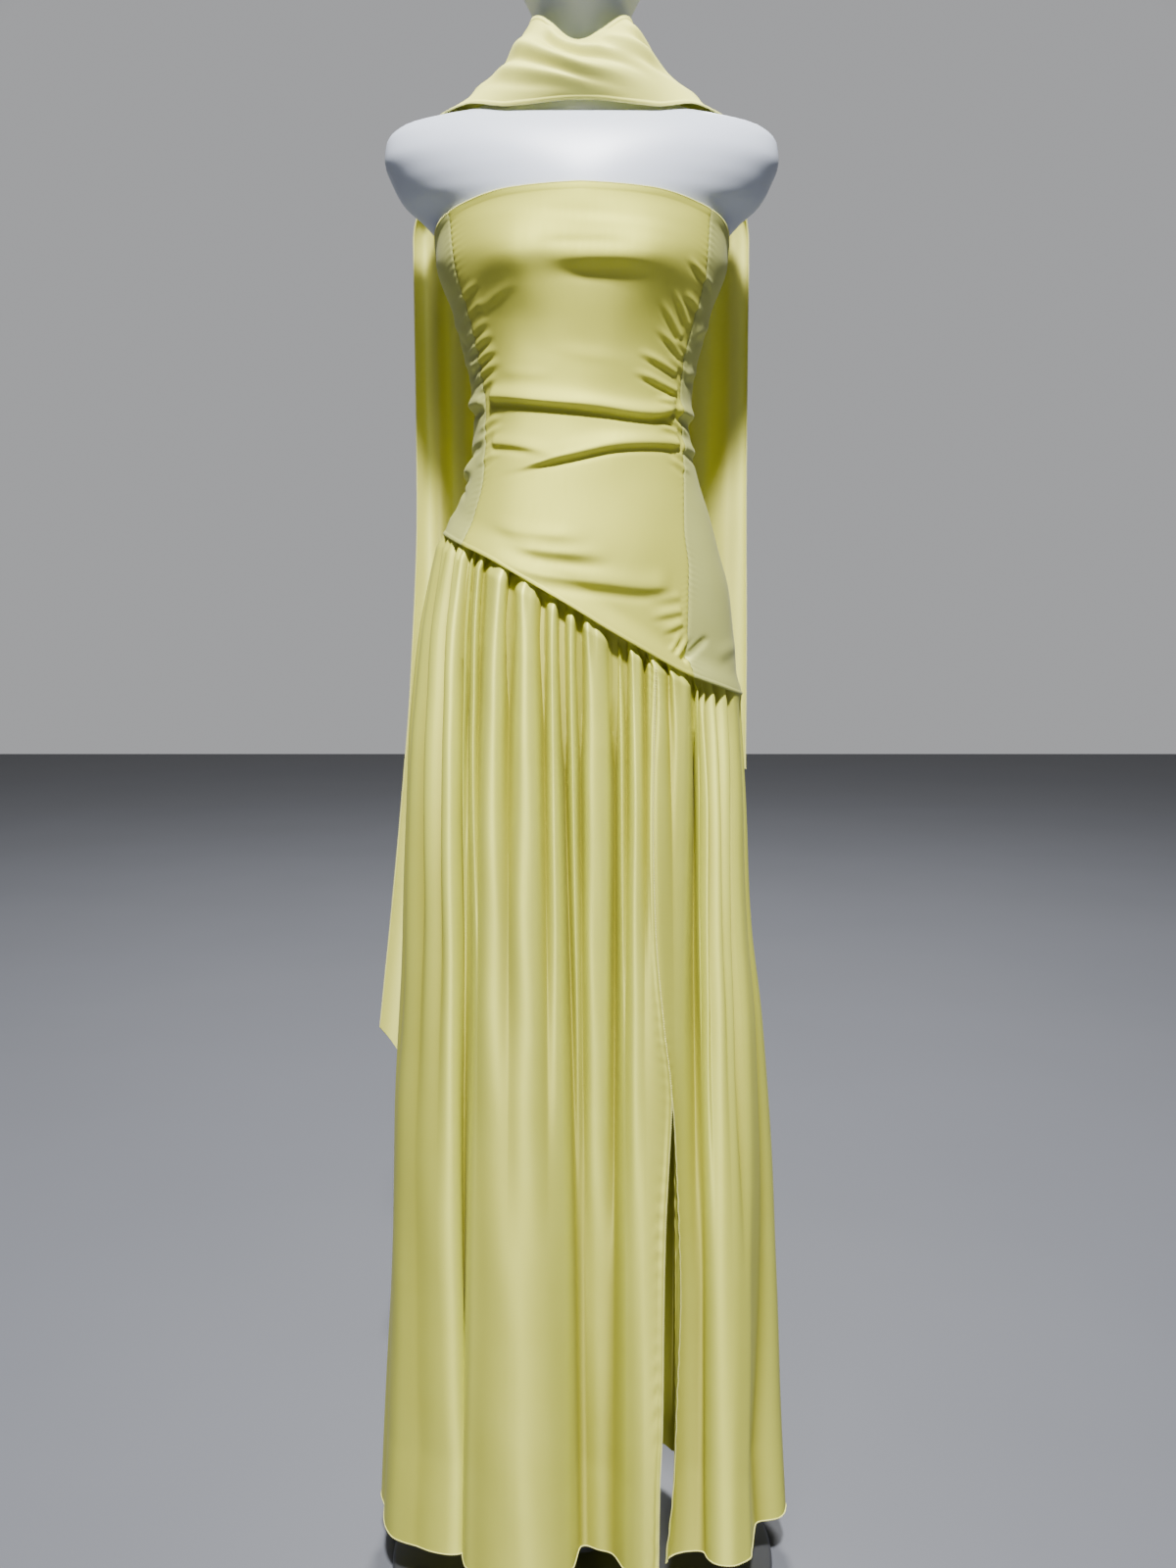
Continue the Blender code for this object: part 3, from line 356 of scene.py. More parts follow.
# The slit's two edges: fall from the seam to the hem, left_x, right_x
SLIT = metres(
    "-mm",
    (0, 69.5, 69.5), (0.17, 67, 67), (0.28, 70, 70), (0.38, 78.5, 78.5), (0.46, 86.5, 88),
    (0.53, 84, 92), (0.61, 81, 95.7), (0.69, 80, 98), (0.82, 79.5, 95), (0.9, 77, 93),
    (1, 76.3, 85),
)
SIDE_SEAM = math.pi / 2
HALF_GAP = 0.00015

# Scarf: run along it from the front's middle, x, y and z of its outer edge, of its middle
# and of its inner edge, and the depth of its pleats
SCARF_NECK = metres(
    "m" * 11,
    (0, 0, -70.5, 1473.8, -1, -81.5, 1500, -3, -70.5, 1524, 1.5),
    (70, 68, -63, 1470.7, 56, -65, 1511, 35, -61, 1548, 2),
    (110, 108, -42, 1480, 72, -36, 1518, 46, -35, 1556, 1.2),
    (150, 140, 0, 1480.7, 82, 3, 1520, 49, 2, 1560, 1.5),
    (210, 152, 65.5, 1457.5, 102, 78, 1482, 54, 64, 1522, 4),
)
SCARF_RIGHT = metres(
    "m" * 11,
    (300, 173, 96, 1395, 112, 112, 1400, 46, 112, 1420, 7.5),
    (550, 176, 112, 1145, 112, 126, 1145, 42, 127, 1150, 9),
    (750, 180, 122, 950, 116, 142, 950, 46, 143, 950, 9),
    (900, 181, 126, 842, 122, 145, 815, 56, 145, 800, 8.5),
)
SCARF_LEFT = metres(
    "m" * 11,
    (300, 175, 96, 1395, 112, 112, 1400, 48, 112, 1420, 7.5),
    (550, 177, 112, 1145, 113, 126, 1145, 44, 127, 1150, 9),
    (750, 188, 124, 950, 118, 142, 950, 48, 143, 950, 9.5),
    (930, 206, 133, 770, 135, 148, 760, 62, 149, 760, 10),
    (1160, 233, 140, 542, 165, 154, 470, 92, 154, 465, 9.5),
)
NECK_RUN = SCARF_NECK[-1][0]
SCARF_PLEATS = 4
TAIL_PLEATED = 0.5
# Rolled edging: sizes of the roll and of the stitches over it
EDGING = {"Roll Step": 0.0032, "Roll Radius": 0.00055, "Stitch Spacing": 0.0025,
          "Stitch Length": 0.00130, "Stitch Radius": 0.00028}
STITCH_SLANT = 0.55
# Which borders of which pieces have it
EDGED = {
    "left_skirt": ("bottom", "end"), "right_skirt": ("bottom", "start"), "back_skirt": ("bottom",),
    "neck_scarf": ("start", "end"), "left_tail": ("start", "end", "bottom"),
    "right_tail": ("start", "end", "bottom"), "centre_panel": ("top",),
    "left_side_panel": ("top",), "right_side_panel": ("top",), "back_panel": ("top",),
}
SCARF_CENTRE = (0.0, 0.010, 1.430)
# Soft folds across the scarf's front: tracks of the run and the way across from its outer
# edge, where the scarf counts as this wide
NECK_WIDTH = 0.060
NECK_CREASES = crease_table(
    0.001,
    ((-150, 37.2, -90, 39.6, -40, 37.2, 10, 26.4, 70, 13.2), 4.2, 6, 4.2, 2.2, 0.3, 0.45),
    ((-60, 57.6, -30, 51.6, 10, 48, 50, 37.2, 90, 21.6), 3.6, 5.4, 4.2, 2, 0.15, 0.4),
    ((-130, 24, -80, 24, -30, 20.4, 20, 13.2), 2.8, 5.4, 4.2, 1.4, 0.3, 0.5),
    ((20, 60, 45, 46.8, 80, 36, 130, 26.4), 3.8, 4.8, 4.2, 2.4, 0.2, 0.4),
    ((60, 55.2, 100, 45.6, 150, 37.2, 200, 33.6), 3.4, 4.8, 4.2, 1.8, 0.2, 0.2),
    ((-200, 24, -150, 21.6, -100, 13.2), 3, 5.4, 4.2, 1.4, 0.15, 0.5),
    ((-200, 46.8, -150, 50.4, -100, 51.6), 3.2, 4.8, 4.2, 1.6, 0.15, 0.4),
    ((110, 12, 150, 15.6, 200, 18), 2.8, 5.4, 4.2, 1.2, 0.4, 0.2),
)
# Area lights: name, place, aim, size, watts
LIGHTS = (
    ("main_key", (0.12, -2.62, 5.50), (0.0, 0.0, 0.80), 0.42, 900.0),
    ("left_key", (-0.75, -2.35, 5.40), (0.0, 0.0, 0.80), 0.50, 45.0),
    ("back_key", (0.1, 3.1, 4.6), (0.0, 0.0, 0.8), 0.9, 260.0),
    ("inner_glow", (-0.05, 0.05, 0.09), (0.03, 0.0, 0.9), 0.03, 0.15),
)
FLOOR_REACH = 9.0


def curve_through(places, values):
    """A smooth curve through one column of a table, which never overshoots its rows."""
    places = np.asarray(places, float)
    values = np.asarray(values, float)
    widths = np.diff(places)
    rates = np.diff(values) / widths
    slopes = np.zeros(len(values))
    slopes[0] = rates[0]
    slopes[-1] = rates[-1]
    for i in range(1, len(rates)):
        if rates[i - 1] * rates[i] > 0:
            slopes[i] = 2 * rates[i - 1] * rates[i] / (rates[i - 1] + rates[i])

    def at(place):
        place = np.clip(place, places[0], places[-1])
        i = np.clip(np.searchsorted(places, place, side="right") - 1, 0, len(widths) - 1)
        u = (place - places[i]) / widths[i]
        start = (1 + 2 * u) * (1 - u) ** 2 * values[i]
        end = u * u * (3 - 2 * u) * values[i + 1]
        bend = widths[i] * u * (1 - u) * ((1 - u) * slopes[i] - u * slopes[i + 1])
        return start + end + bend

    return at


def curves_of(rows):
    """A curve for each column of a table, along its first column."""
    rows = np.array(rows, float)
    return [curve_through(rows[:, 0], rows[:, k]) for k in range(1, rows.shape[1])]


def ease(share):
    """0 to 1 with a level start and end."""
    share = np.clip(share, 0.0, 1.0)
    return share * share * (3 - 2 * share)


FIGURE_CURVES = curves_of(FIGURE)
SKIRT_CURVES = curves_of(SKIRT)
SEAM_CURVES = curves_of(PANEL_SEAMS)
SLIT_CURVES = curves_of(SLIT)
TOP_CURVE = curves_of(TOP_EDGE)[0]
HIP_CURVE = curves_of(HIP_SEAM)[0]
FLARE_CURVE = curves_of(EDGE_FLARE)[0]


def oval_radius(angle, half_width, front, back, fullness):
    """Distance from the axis to an oval section, in the direction of an angle."""
    across = np.abs(np.sin(angle)) / half_width
    along = np.abs(np.cos(angle)) / np.where(np.cos(angle) > 0, front, back)
    return (across ** fullness + along ** fullness) ** (-1 / fullness)


def oval_angle(x, half_width, depth, fullness):
    """Angle, from the front, of the point of an oval's front half at x."""
    share = np.minimum(np.abs(x) / half_width, 0.9995)
    return np.arctan2(x, depth * (1 - share ** fullness) ** (1 / fullness))


def points_at(angle, radius, z):
    return np.stack([radius * np.sin(angle), -radius * np.cos(angle), z + 0 * angle], axis=-1)


def figure_radius(angle, z):
    """The dress form's surface."""
    radius = oval_radius(angle, *(curve(z) for curve in FIGURE_CURVES))
    x = np.abs(radius * np.sin(angle))
    away = ((x - BUST_X) / BUST_WIDTH) ** 2 + ((z - BUST_Z) / BUST_HEIGHT) ** 2
    return radius + BUST_RISE * np.exp(-away) * ease(np.cos(angle) / 0.5)


def hip_seam_x(angle):
    section = [float(curve(1.0)) for curve in FIGURE_CURVES]
    return (oval_radius(angle, *section) + SEAM_REACH) * np.sin(angle)


def hip_seam_z(angle):
    """Height of the slanted hip seam."""
    return HIP_CURVE(hip_seam_x(angle))


def turn_between(angle, place):
    """The turn from a place to an angle, between -180 and 180 degrees."""
    return (angle - place + math.pi) % (2 * math.pi) - math.pi


def top_edge_z(angle):
    return TOP_CURVE(np.abs(np.degrees(turn_between(angle, 0))))


def smoothed(track, rounds=2):
    """A track with its corners cut, its two ends kept."""
    track = np.array(track, float)
    for _ in range(rounds):
        near = 0.75 * track[:-1] + 0.25 * track[1:]
        far = 0.25 * track[:-1] + 0.75 * track[1:]
        middle = np.stack([near, far], axis=1).reshape(-1, 2)[1:-1]
        track = np.concatenate([track[:1], middle, track[-1:]])
    return track


def crease_relief(a, z, creases):
    """How far a table of creases moves the cloth outwards at points (a, z)."""
    total = np.zeros(np.broadcast(a, z).shape)
    spots = np.stack([a + 0 * total, z + 0 * total], axis=-1)
    for track, rise, above, below, under, fade_in, fade_out in creases:
        track = smoothed(track)
        margin = 3.2 * max(above, below)
        inside = (spots > track.min(axis=0) - margin) & (spots < track.max(axis=0) + margin)
        near = inside.all(axis=-1)
        spot = spots[near]
        lengths = np.linalg.norm(np.diff(track, axis=0), axis=1)
        starts = np.concatenate([[0.0], np.cumsum(lengths)])
        best = np.full(len(spot), np.inf)
        side = np.zeros(len(spot))
        along = np.zeros(len(spot))
        for k, length in enumerate(lengths):
            step = (track[k + 1] - track[k]) / length
            away = spot - track[k]
            run = np.clip(away @ step, 0.0, length)
            gap = np.linalg.norm(away - run[:, None] * step, axis=1)
            closer = gap < best
            best = np.where(closer, gap, best)
            side = np.where(closer, step[0] * away[:, 1] - step[1] * away[:, 0], side)
            along = np.where(closer, (starts[k] + run) / starts[-1], along)
        offset = best * np.where(side < 0, -1.0, 1.0)
        profile = rise * np.exp(-(offset / np.where(offset > 0, above, below)) ** 2)
        profile -= under * np.exp(-((offset + 2.1 * below) / (0.95 * below)) ** 2)
        total[near] += profile * ease(along / fade_in) * ease((1 - along) / fade_out)
    return total


def soft_noise(size, waves=7):
    """A smooth uneven relief between about -1 and 1, with bumps of about the given size."""
    draws = [
        (RANDOM.uniform(0, FULL_TURN), RANDOM.uniform(0, FULL_TURN), size * RANDOM.uniform(0.7, 1.7))
        for _ in range(waves)
    ]

    def at(u, v):
        total = 0.0
        for way, start, pitch in draws:
            total = total + np.sin(FULL_TURN * (u * math.cos(way) + v * math.sin(way)) / pitch + start)
        return total / waves * 1.6

    return at


BODICE_UNEVEN = soft_noise(0.060)
SKIRT_UNEVEN = soft_noise(0.045)
DRAPE_UNEVEN = soft_noise(0.017)
SCARF_UNEVEN = soft_noise(0.050)


def seam_ruches(curve, heights, slant):
    """Short ruches across a long seam, uneven in size."""
    creases = []
    for z in heights:
        x = float(curve(z))
        reach = RUCHE_REACH * RANDOM.uniform(0.7, 1.3)
        rise = RUCHE_RISE * RANDOM.uniform(0.6, 1.3)
        track = ((x - reach, z - slant * reach), (x, z), (x + reach, z + slant * reach * 0.8))
        creases.append((track, rise, 0.0034, 0.0026, 0.5 * rise, 0.35, 0.35))
    return tuple(creases)


BODICE_CREASES = (
    FRONT_CREASES
    + seam_ruches(SEAM_CURVES[0], LEFT_SEAM_RUCHES, 0.6)
    + seam_ruches(SEAM_CURVES[1], RIGHT_SEAM_RUCHES, -0.7)
)


def rest_of_turn(angle):
    """An angle brought between -90 and 270 degrees."""
    return (angle + math.pi / 2) % (2 * math.pi) - math.pi / 2


def bodice_radius(angle, z):
    """The bodice's outer surface: close to the form, creased, and flared at its lower edge."""
    form = figure_radius(angle, z)
    flare = FLARE_CURVE(hip_seam_x(angle)) * ease(1 - (z - hip_seam_z(angle)) / FLARE_HEIGHT) ** 1.4
    radius = form + BODICE_LIFT + flare
    front = ease(np.cos(angle) / 0.25)
    radius = radius + front * crease_relief(radius * np.sin(angle), z, BODICE_CREASES)
    radius = radius + crease_relief(rest_of_turn(angle) * ROUND_TURN, z, ROUND_CREASES)
    least = form + BODICE_LEAST
    over = (radius - least) / SOFT_STOP
    return np.where(over < 1, least + SOFT_STOP * np.exp(over - 1), radius)


def panel_angle(x, z):
    """Angle of a seam that runs at x on the figure's front."""
    half_width, front, _, fullness = (curve(z) for curve in FIGURE_CURVES)
    return oval_angle(x, half_width, front, fullness)


def clustered(count, start_pull, end_pull):
    """Shares from 0 to 1, closer together at the start and the end by the pulls given."""
    even = np.linspace(0, 1, count)
    weight = 1 + start_pull * np.exp(-even / 0.05) + end_pull * np.exp(-(1 - even) / 0.05)
    steps = 1 / (0.5 * (weight[1:] + weight[:-1]))
    places = np.concatenate([[0.0], np.cumsum(steps)])
    return places / places[-1]


def bodice_grid(left_edge, right_edge, columns, rows):
    """Places on a bodice panel, the top edge first, and each one's way to the two side edges."""
    share = np.linspace(0, 1, columns)[None, :]
    down = clustered(rows, 1.5, 2.0)[:, None]
    z = 1.2 + 0 * share * down
    for _ in range(10):
        left = left_edge(z)
        angle = left + (right_edge(z) - left) * share
        top = top_edge_z(angle)
        z = top + (hip_seam_z(angle) - top) * down
    return angle, z, (angle - left) * BODICE_TURN, (right_edge(z) - angle) * BODICE_TURN


def puckers(along, step, drift, uneven):
    """Uneven waves along a seam or an edge, between -1 and 1."""
    wave = np.sin(along / step * FULL_TURN + drift[0] * np.sin(along / drift[1]))
    return wave * (1 - uneven[0] + uneven[0] * np.sin(along / uneven[1] + uneven[2]))


def seam_relief(distance, along):
    """The sunk line of a seam and the small puckers beside it."""
    groove = -SEAM_GROOVE * np.exp(-(distance / SEAM_GROOVE_SPREAD) ** 2)
    wave = puckers(along, *SEAM_WAVES)
    return groove + SEAM_PUCKER * wave * np.exp(-distance / SEAM_PUCKER_REACH)


def normals_of(outer):
    """Unit normals of a grid of points, away from the cloth's inner side."""
    normal = np.cross(np.gradient(outer, axis=0), np.gradient(outer, axis=1))
    return normal / np.maximum(np.linalg.norm(normal, axis=-1, keepdims=True), 1e-12)


def raised(outer, rise):
    """A grid's points moved out along its normals."""
    return outer + normals_of(outer) * rise[..., None]


def rolled(distance, width, height):
    """Height of a rolled or turned edge of a width, by the distance from the cloth's border."""
    share = np.clip(distance / width, 0, 1)
    return height * np.sqrt(np.clip(1 - (2 * share - 1) ** 2, 0, 1)) * (distance < width)


def lengths_along(outer, axis):
    """Running length of cloth along a grid's rows or columns."""
    steps = np.linalg.norm(np.diff(outer, axis=axis), axis=-1)
    start = np.zeros_like(np.take(steps, [0], axis=axis))
    return np.concatenate([start, np.cumsum(steps, axis=axis)], axis=axis)


def distance_from(outer, side):
    """Running length of cloth from one border of its grid: top, bottom, start or end."""
    axis = 0 if side in ("top", "bottom") else 1
    if side in ("top", "start"):
        return lengths_along(outer, axis)
    return np.flip(lengths_along(np.flip(outer, axis), axis), axis)


def quads(number):
    """The faces of a grid of point numbers."""
    corners = (number[:-1, :-1], number[1:, :-1], number[1:, 1:], number[:-1, 1:])
    return np.stack(corners, axis=-1).reshape(-1, 4).tolist()


def border_of(grid):
    """Numbers round the border of a grid, once round."""
    return np.concatenate([grid[0], grid[1:, -1], grid[-1, ::-1][1:], grid[::-1, 0][1:-1]])


def fold_heights(outer):
    """How high each point stands in its folds: 0 in a deep valley, 1 on a ridge."""
    along = lengths_along(outer, 1)
    values = np.concatenate([outer, normals_of(outer)], axis=-1)
    heights = np.empty(along.shape)
    for k, (spots, row) in enumerate(zip(along, values)):
        steps = np.diff(spots)[:, None] * (row[1:] + row[:-1]) / 2
        sums = np.concatenate([np.zeros((1, 6)), np.cumsum(steps, axis=0)])
        start, end = (np.clip(spots + reach, 0.0, spots[-1]) for reach in (-FOLD_WINDOW, FOLD_WINDOW))
        within = [np.interp(end, spots, total) - np.interp(start, spots, total) for total in sums.T]
        means = np.stack(within, axis=-1) / (end - start)[:, None]
        heights[k] = np.sum((row[:, :3] - means[:, :3]) * unit(means[:, 3:]), axis=-1)
    return 0.5 + 0.5 * np.tanh(heights / FOLD_HEIGHT)


def cloth_piece(name, outer, finish):
    """A closed thin shell of cloth: its outer skin in full, its inner skin at half density."""
    inner = (outer - normals_of(outer) * CLOTH)[::2, ::2]
    number = np.arange(outer[..., 0].size).reshape(outer.shape[:2])
    inside = number.size + np.arange(inner[..., 0].size).reshape(inner.shape[:2])
    faces = quads(number) + quads(inside.T)
    rim = border_of(number)
    behind = border_of(inside)
    for k in range(len(behind)):
        a, b, c = (rim[(2 * k + step) % len(rim)] for step in (0, 1, 2))
        faces.append([int(a), int(b), int(c), int(behind[(k + 1) % len(behind)]), int(behind[k])])
    mesh = bpy.data.meshes.new(name)
    mesh.from_pydata(np.concatenate([outer.reshape(-1, 3), inner.reshape(-1, 3)]).tolist(), [], faces)
    down = lengths_along(outer, 0).mean(axis=1, keepdims=True)
    places = np.stack([lengths_along(outer, 1), down + 0 * outer[..., 0]], axis=-1)
    places = np.concatenate([places.reshape(-1, 2), places[::2, ::2].reshape(-1, 2)])
    corners = np.zeros(len(mesh.loops), int)
    mesh.loops.foreach_get("vertex_index", corners)
    mesh.uv_layers.new(name="cloth").data.foreach_set("uv", places[corners].astype(np.float32).ravel())
    # Heights of the folds, the mask for the painted fold shade and highlight
    heights = fold_heights(outer)
    heights = np.concatenate([heights.ravel(), heights[::2, ::2].ravel()]).astype(np.float32)
    mesh.attributes.new("fold_height", "FLOAT", "POINT").data.foreach_set("value", heights)
    return object_from(name, mesh, finish, 62)


def skirt_section(sideways, z):
    """The skirt's envelope at a height: half width on that side, front, back and fullness."""
    left, right, *others = (curve(z) for curve in SKIRT_CURVES)
    return (np.where(np.asarray(sideways) < 0, left, right), *others)


def fold_angle(place, fall, face):
    """Angle of a place at a fall below the seam: x on the front or back, degrees at a side."""
    if face == "side":
        return math.radians(place)
    z = HIP_CURVE(place) + fall * (HEM_Z - HIP_CURVE(place))
    half_width, front, rear, fullness = skirt_section(place, z)
    angle = oval_angle(place, half_width, rear if face == "back" else front, fullness)
    return math.pi - angle if face == "back" else angle


def make_valleys():
    """Every valley round the upper skirt: curves of its angle, depth and half width by fall."""
    falls = (0.0, MID_FALL, 1.0)
    upper_falls = (0.0, MID_FALL, LOW_FALL)
    valleys = []
    for folds, face in FRONT_TABLES + BACK_TABLES:
        for row in folds:
            angles = [float(fold_angle(place, fall, face)) for place, fall in zip(row[:3], falls)]
            valleys.append((
                curve_through(falls, angles),
                curve_through(upper_falls, (row[3], row[4], LOW_DEPTH * row[4])),
                curve_through(upper_falls, (VALLEY_FOOT, row[5], LOW_WIDTH * row[5])),
            ))
    return valleys


def make_gathers():
    """Small gathers under the seam: angle at the seam and at its end, end fall, depth, foot."""
    gathers = []
    for seam_x, end_x, end_fall, *sizes in FRONT_GATHERS:
        ends = [float(fold_angle(x, fall, "front")) for x, fall in ((seam_x, 0.0), (end_x, end_fall))]
        gathers.append((*ends, end_fall, *sizes))
    angle = SIDE_SEAM + 0.02
    while angle < 3 * SIDE_SEAM - 0.03:
        drift = RANDOM.uniform(-0.02, 0.02)
        sizes = [RANDOM.uniform(*span) for span in BACK_GATHER_SPANS]
        gathers.append((angle, angle + drift, *sizes))
        angle += BACK_GATHER_SPACING * RANDOM.uniform(0.7, 1.4) / BODICE_TURN
    return gathers


def soft_curve(curve, start, end):
    """The same curve with its corners softened, as a fine table."""
    places = np.linspace(start, end, int((end - start) / FOLD_STEP) + 1)
    reach = np.arange(-FOLD_REACH, FOLD_REACH + 1)
    weights = np.exp(-0.5 * (reach * 3.0 / FOLD_REACH) ** 2)
    values = np.convolve(np.pad(curve(places), FOLD_REACH, mode="reflect", reflect_type="odd"),
                         weights / weights.sum(), mode="valid")
    return lambda place: np.interp(place, places, values)


def make_large_folds():
    """The large folds' depth at the hem, by the hem's angle, for the three skirt pieces."""
    left, right = (
        [(float(fold_angle(x, 1.0, "front")), depth) for x, depth in hem]
        for hem in (LEFT_HEM, RIGHT_HEM)
    )
    left[0] = (-SIDE_SEAM, left[0][1])
    right += [(math.radians(degrees), depth) for degrees, depth in RIGHT_HEM_SIDE]
    back = [(SIDE_SEAM, 0.0)]
    set_back = 0.0
    rows = [
        (float(fold_angle(row[2], 1.0, face)), *row[6:])
        for folds, face in BACK_TABLES for row in folds
    ]
    for place, depth, after in rows:
        if depth >= LARGE_LEAST:
            wall = min(WALL_SHARE * depth, WALL_LIMIT) / SKIRT_TURN
            back += [
                (place - 2.6 * wall, set_back + 0.16 * depth),
                (place - wall, set_back + 0.55 * depth),
                (place, max(set_back, after) + depth),
                (place + wall, after + 0.55 * depth),
                (place + 2.6 * wall, after + 0.16 * depth),
            ]
        else:
            back.append((place, 0.5 * (set_back + after)))
        set_back = after
    back.append((3 * SIDE_SEAM, left[0][1]))
    back = [row for k, row in enumerate(back) if k == 0 or row[0] > back[k - 1][0] + 0.001]
    return [
        soft_curve(curve_through(*zip(*points)), points[0][0], points[-1][0])
        for points in (left, right, back)
    ]


VALLEYS = make_valleys()
GATHERS = make_gathers()
LARGE_FOLDS = make_large_folds()
LEFT_FOLDS = len(LEFT_SIDE_FRONT) + len(FRONT_LEFT_FOLDS)
RIGHT_END = LEFT_FOLDS + len(FRONT_RIGHT_FOLDS) + len(RIGHT_SIDE_FRONT)


def fading(fall, span):
    """1 above a span of falls, 0 below it."""
    return 1 - ease((fall - span[0]) / (span[1] - span[0]))


def bump_depth(near, foot, power):
    """The share of its depth that a valley has at a distance from its line."""
    return np.exp(-(np.abs(near) / foot) ** power)


def fold_depth(angle, fall, reach):
    """How far the upper skirt's valleys lie inside its envelope."""
    total = np.zeros(np.broadcast(angle, fall).shape)
    for valley_angle, valley_depth, valley_foot in VALLEYS:
        depth = valley_depth(fall) * (1 + VALLEY_BOOST * np.exp(-(fall / BOOST_FALL) ** 2))
        foot = valley_foot(fall) + VALLEY_SPREAD * depth
        total += depth * bump_depth(turn_between(angle, valley_angle(fall)) * reach, foot, 1.6)
    return total * fading(fall, FOLDS_FADE)


def gather_depth(angle, fall, reach):
    """The small gathers under the hip seam, which open out as they fall."""
    total = np.zeros(np.broadcast(angle, fall).shape)
    for start, end, end_fall, depth, foot in GATHERS:
        share = np.clip(fall / end_fall, 0, 1)
        near = turn_between(angle, start + (end - start) * share) * reach
        total += depth * (1 - share) ** 1.3 * bump_depth(near, foot * (1 + 1.2 * share), 1.4)
    return total


def skirt_points(angle, fall, tubes, large):
    """Outer points of the skirt at a fall from the hip seam, 0, to the hem, 1."""
    seam = hip_seam_z(angle)
    z = seam + fall * (HEM_Z - seam)
    level = np.maximum(z, FIGURE[0][0])
    spread = ease(fall / SPREAD_FALL)
    envelope = oval_radius(angle, *skirt_section(np.sin(angle), z))
    envelope = (figure_radius(angle, level) + SEAM_LIFT) * (1 - spread) + envelope * spread
    depth = fold_depth(angle, fall, envelope) + gather_depth(angle, fall, envelope)
    depth = depth + tubes * ease(fall / 0.05) * fading(fall, TUBES_FADE)
    turned = ease((np.abs(np.sin(angle)) - 0.74) / 0.14)
    growth = np.minimum(fall / LARGE_FALL, 1) ** (LARGE_GROWTH + SIDE_GROWTH * turned)
    depth = depth + LARGE_FOLDS[large](angle[-1])[None, :] * growth
    broad_rise = UNEVEN_RISE["hem"] + UNEVEN_RISE["skirt"] * fading(fall, (0.20, 0.80))
    broad = broad_rise * SKIRT_UNEVEN(angle * SKIRT_TURN, z * 0.22)
    fine_rise = UNEVEN_RISE["drape"] * fading(fall, (0.20, 0.70))
    fine = fine_rise * DRAPE_UNEVEN(angle * SKIRT_TURN, z * 0.035)
    depth = depth - broad * ease(fall / 0.15) - fine * ease(fall / 0.10)
    sideways, inwards = -np.sin(angle) * turned, np.cos(angle)
    size = np.hypot(sideways, inwards)
    x = envelope * np.sin(angle) + depth * sideways / size
    y = -envelope * np.cos(angle) + depth * inwards / size
    way = np.arctan2(x, -y)
    radius = np.maximum(np.hypot(x, y), figure_radius(way, level) + BODY_CLEARANCE)
    return points_at(way, radius, z)


def skirt_grid(stops, depths, closed_ends, spots, rows, large):
    """Outer points of a skirt panel whose columns follow its folds."""
    falls = np.concatenate([[0.0], np.linspace(0, 1, rows - 1) ** 1.35])
    places = np.stack([stop(falls) for stop in stops], axis=1)
    widths = np.abs(np.diff(places, axis=1)) * FOLDS_TURN
    drops = np.minimum(0.5 * (widths[:, 1:] + widths[:, :-1]) * TUBE_SHARE, TUBE_LIMIT)
    drops = np.minimum(drops, 1.5 * np.stack([depth(falls) for depth in depths], axis=1))
    ends = [SIDE_TUBE * closed + 0 * falls[:, None] for closed in closed_ends]
    drops = np.concatenate([ends[0], drops, ends[1]], axis=1)
    share = np.arange(spots) / spots
    share = share - 0.13 * np.sin(FULL_TURN * share)
    from_start = np.clip(1 - 2 * share, 0, 1) ** TUBE_POWER
    from_end = np.clip(2 * share - 1, 0, 1) ** TUBE_POWER
    columns, tubes = [], []
    for k in range(len(stops) - 1):
        first, last = places[:, [k]], places[:, [k + 1]]
        columns.append(first + (last - first) * share)
        tubes.append(drops[:, [k]] * from_start + drops[:, [k + 1]] * from_end)
    angle = np.concatenate(columns + [places[:, [-1]]], axis=1)
    tube = np.concatenate(tubes + [drops[:, [-1]]], axis=1)
    if angle.shape[1] % 2 == 0:
        angle, tube = (
            np.concatenate([grid[:, :-1], 0.5 * (grid[:, -2:-1] + grid[:, -1:]), grid[:, -1:]], axis=1)
            for grid in (angle, tube)
        )
    fall = falls[:, None] + 0 * angle
    outer = skirt_points(angle, fall, tube, large)
    top = angle[0]
    tuck_z = hip_seam_z(top) + TUCK
    radius = figure_radius(top, tuck_z) + TUCK_LIFT
    radius = radius - TUCK_GATHER * fold_depth(top, 0.0 * top, radius)
    outer[0] = points_at(top, radius, tuck_z)
    return outer, fall


def slit_angle(side, overlap=0.0):
    """The slit's left edge, 0, or its right edge, 1, which runs under the left one high up."""
    def at(fall):
        x = SLIT_CURVES[side](fall) - overlap * fading(fall, SLIT_OPENS)
        return fold_angle(x, fall, "front")
    return at


def shifted(curve, gap):
    """An edge that follows a curve of angles, moved along the cloth by a gap."""
    return lambda place: curve(place) + gap / SKIRT_TURN


def straight(angle):
    return lambda place: angle + 0 * place


def finish_skirt(outer, fall, slit_side):
    """Rolled hem, and a rolled, puckered edge where the panel ends at the slit."""
    rise = rolled(distance_from(outer, "bottom"), *ROLLS["hem"])
    if slit_side:
        away = distance_from(outer, slit_side)
        if slit_side == "start":
            under = SLIT_SET_BACK * (1 - ease((away - SLIT_OVERLAP) / 0.0070))
            rise = rise - under * fading(fall, SET_BACK_ENDS) * ease(fall / 0.03)
        rise = rise + rolled(away, *ROLLS["slit"])
        wave = puckers(lengths_along(outer, 0), *SLIT_WAVES)
        wave = wave * (1 - 0.65 * fading(fall, PUCKERS_START))
        rise = rise + SLIT_PUCKER * wave * np.exp(-((away - 0.004) / 0.0065) ** 2)
    return raised(outer, rise)


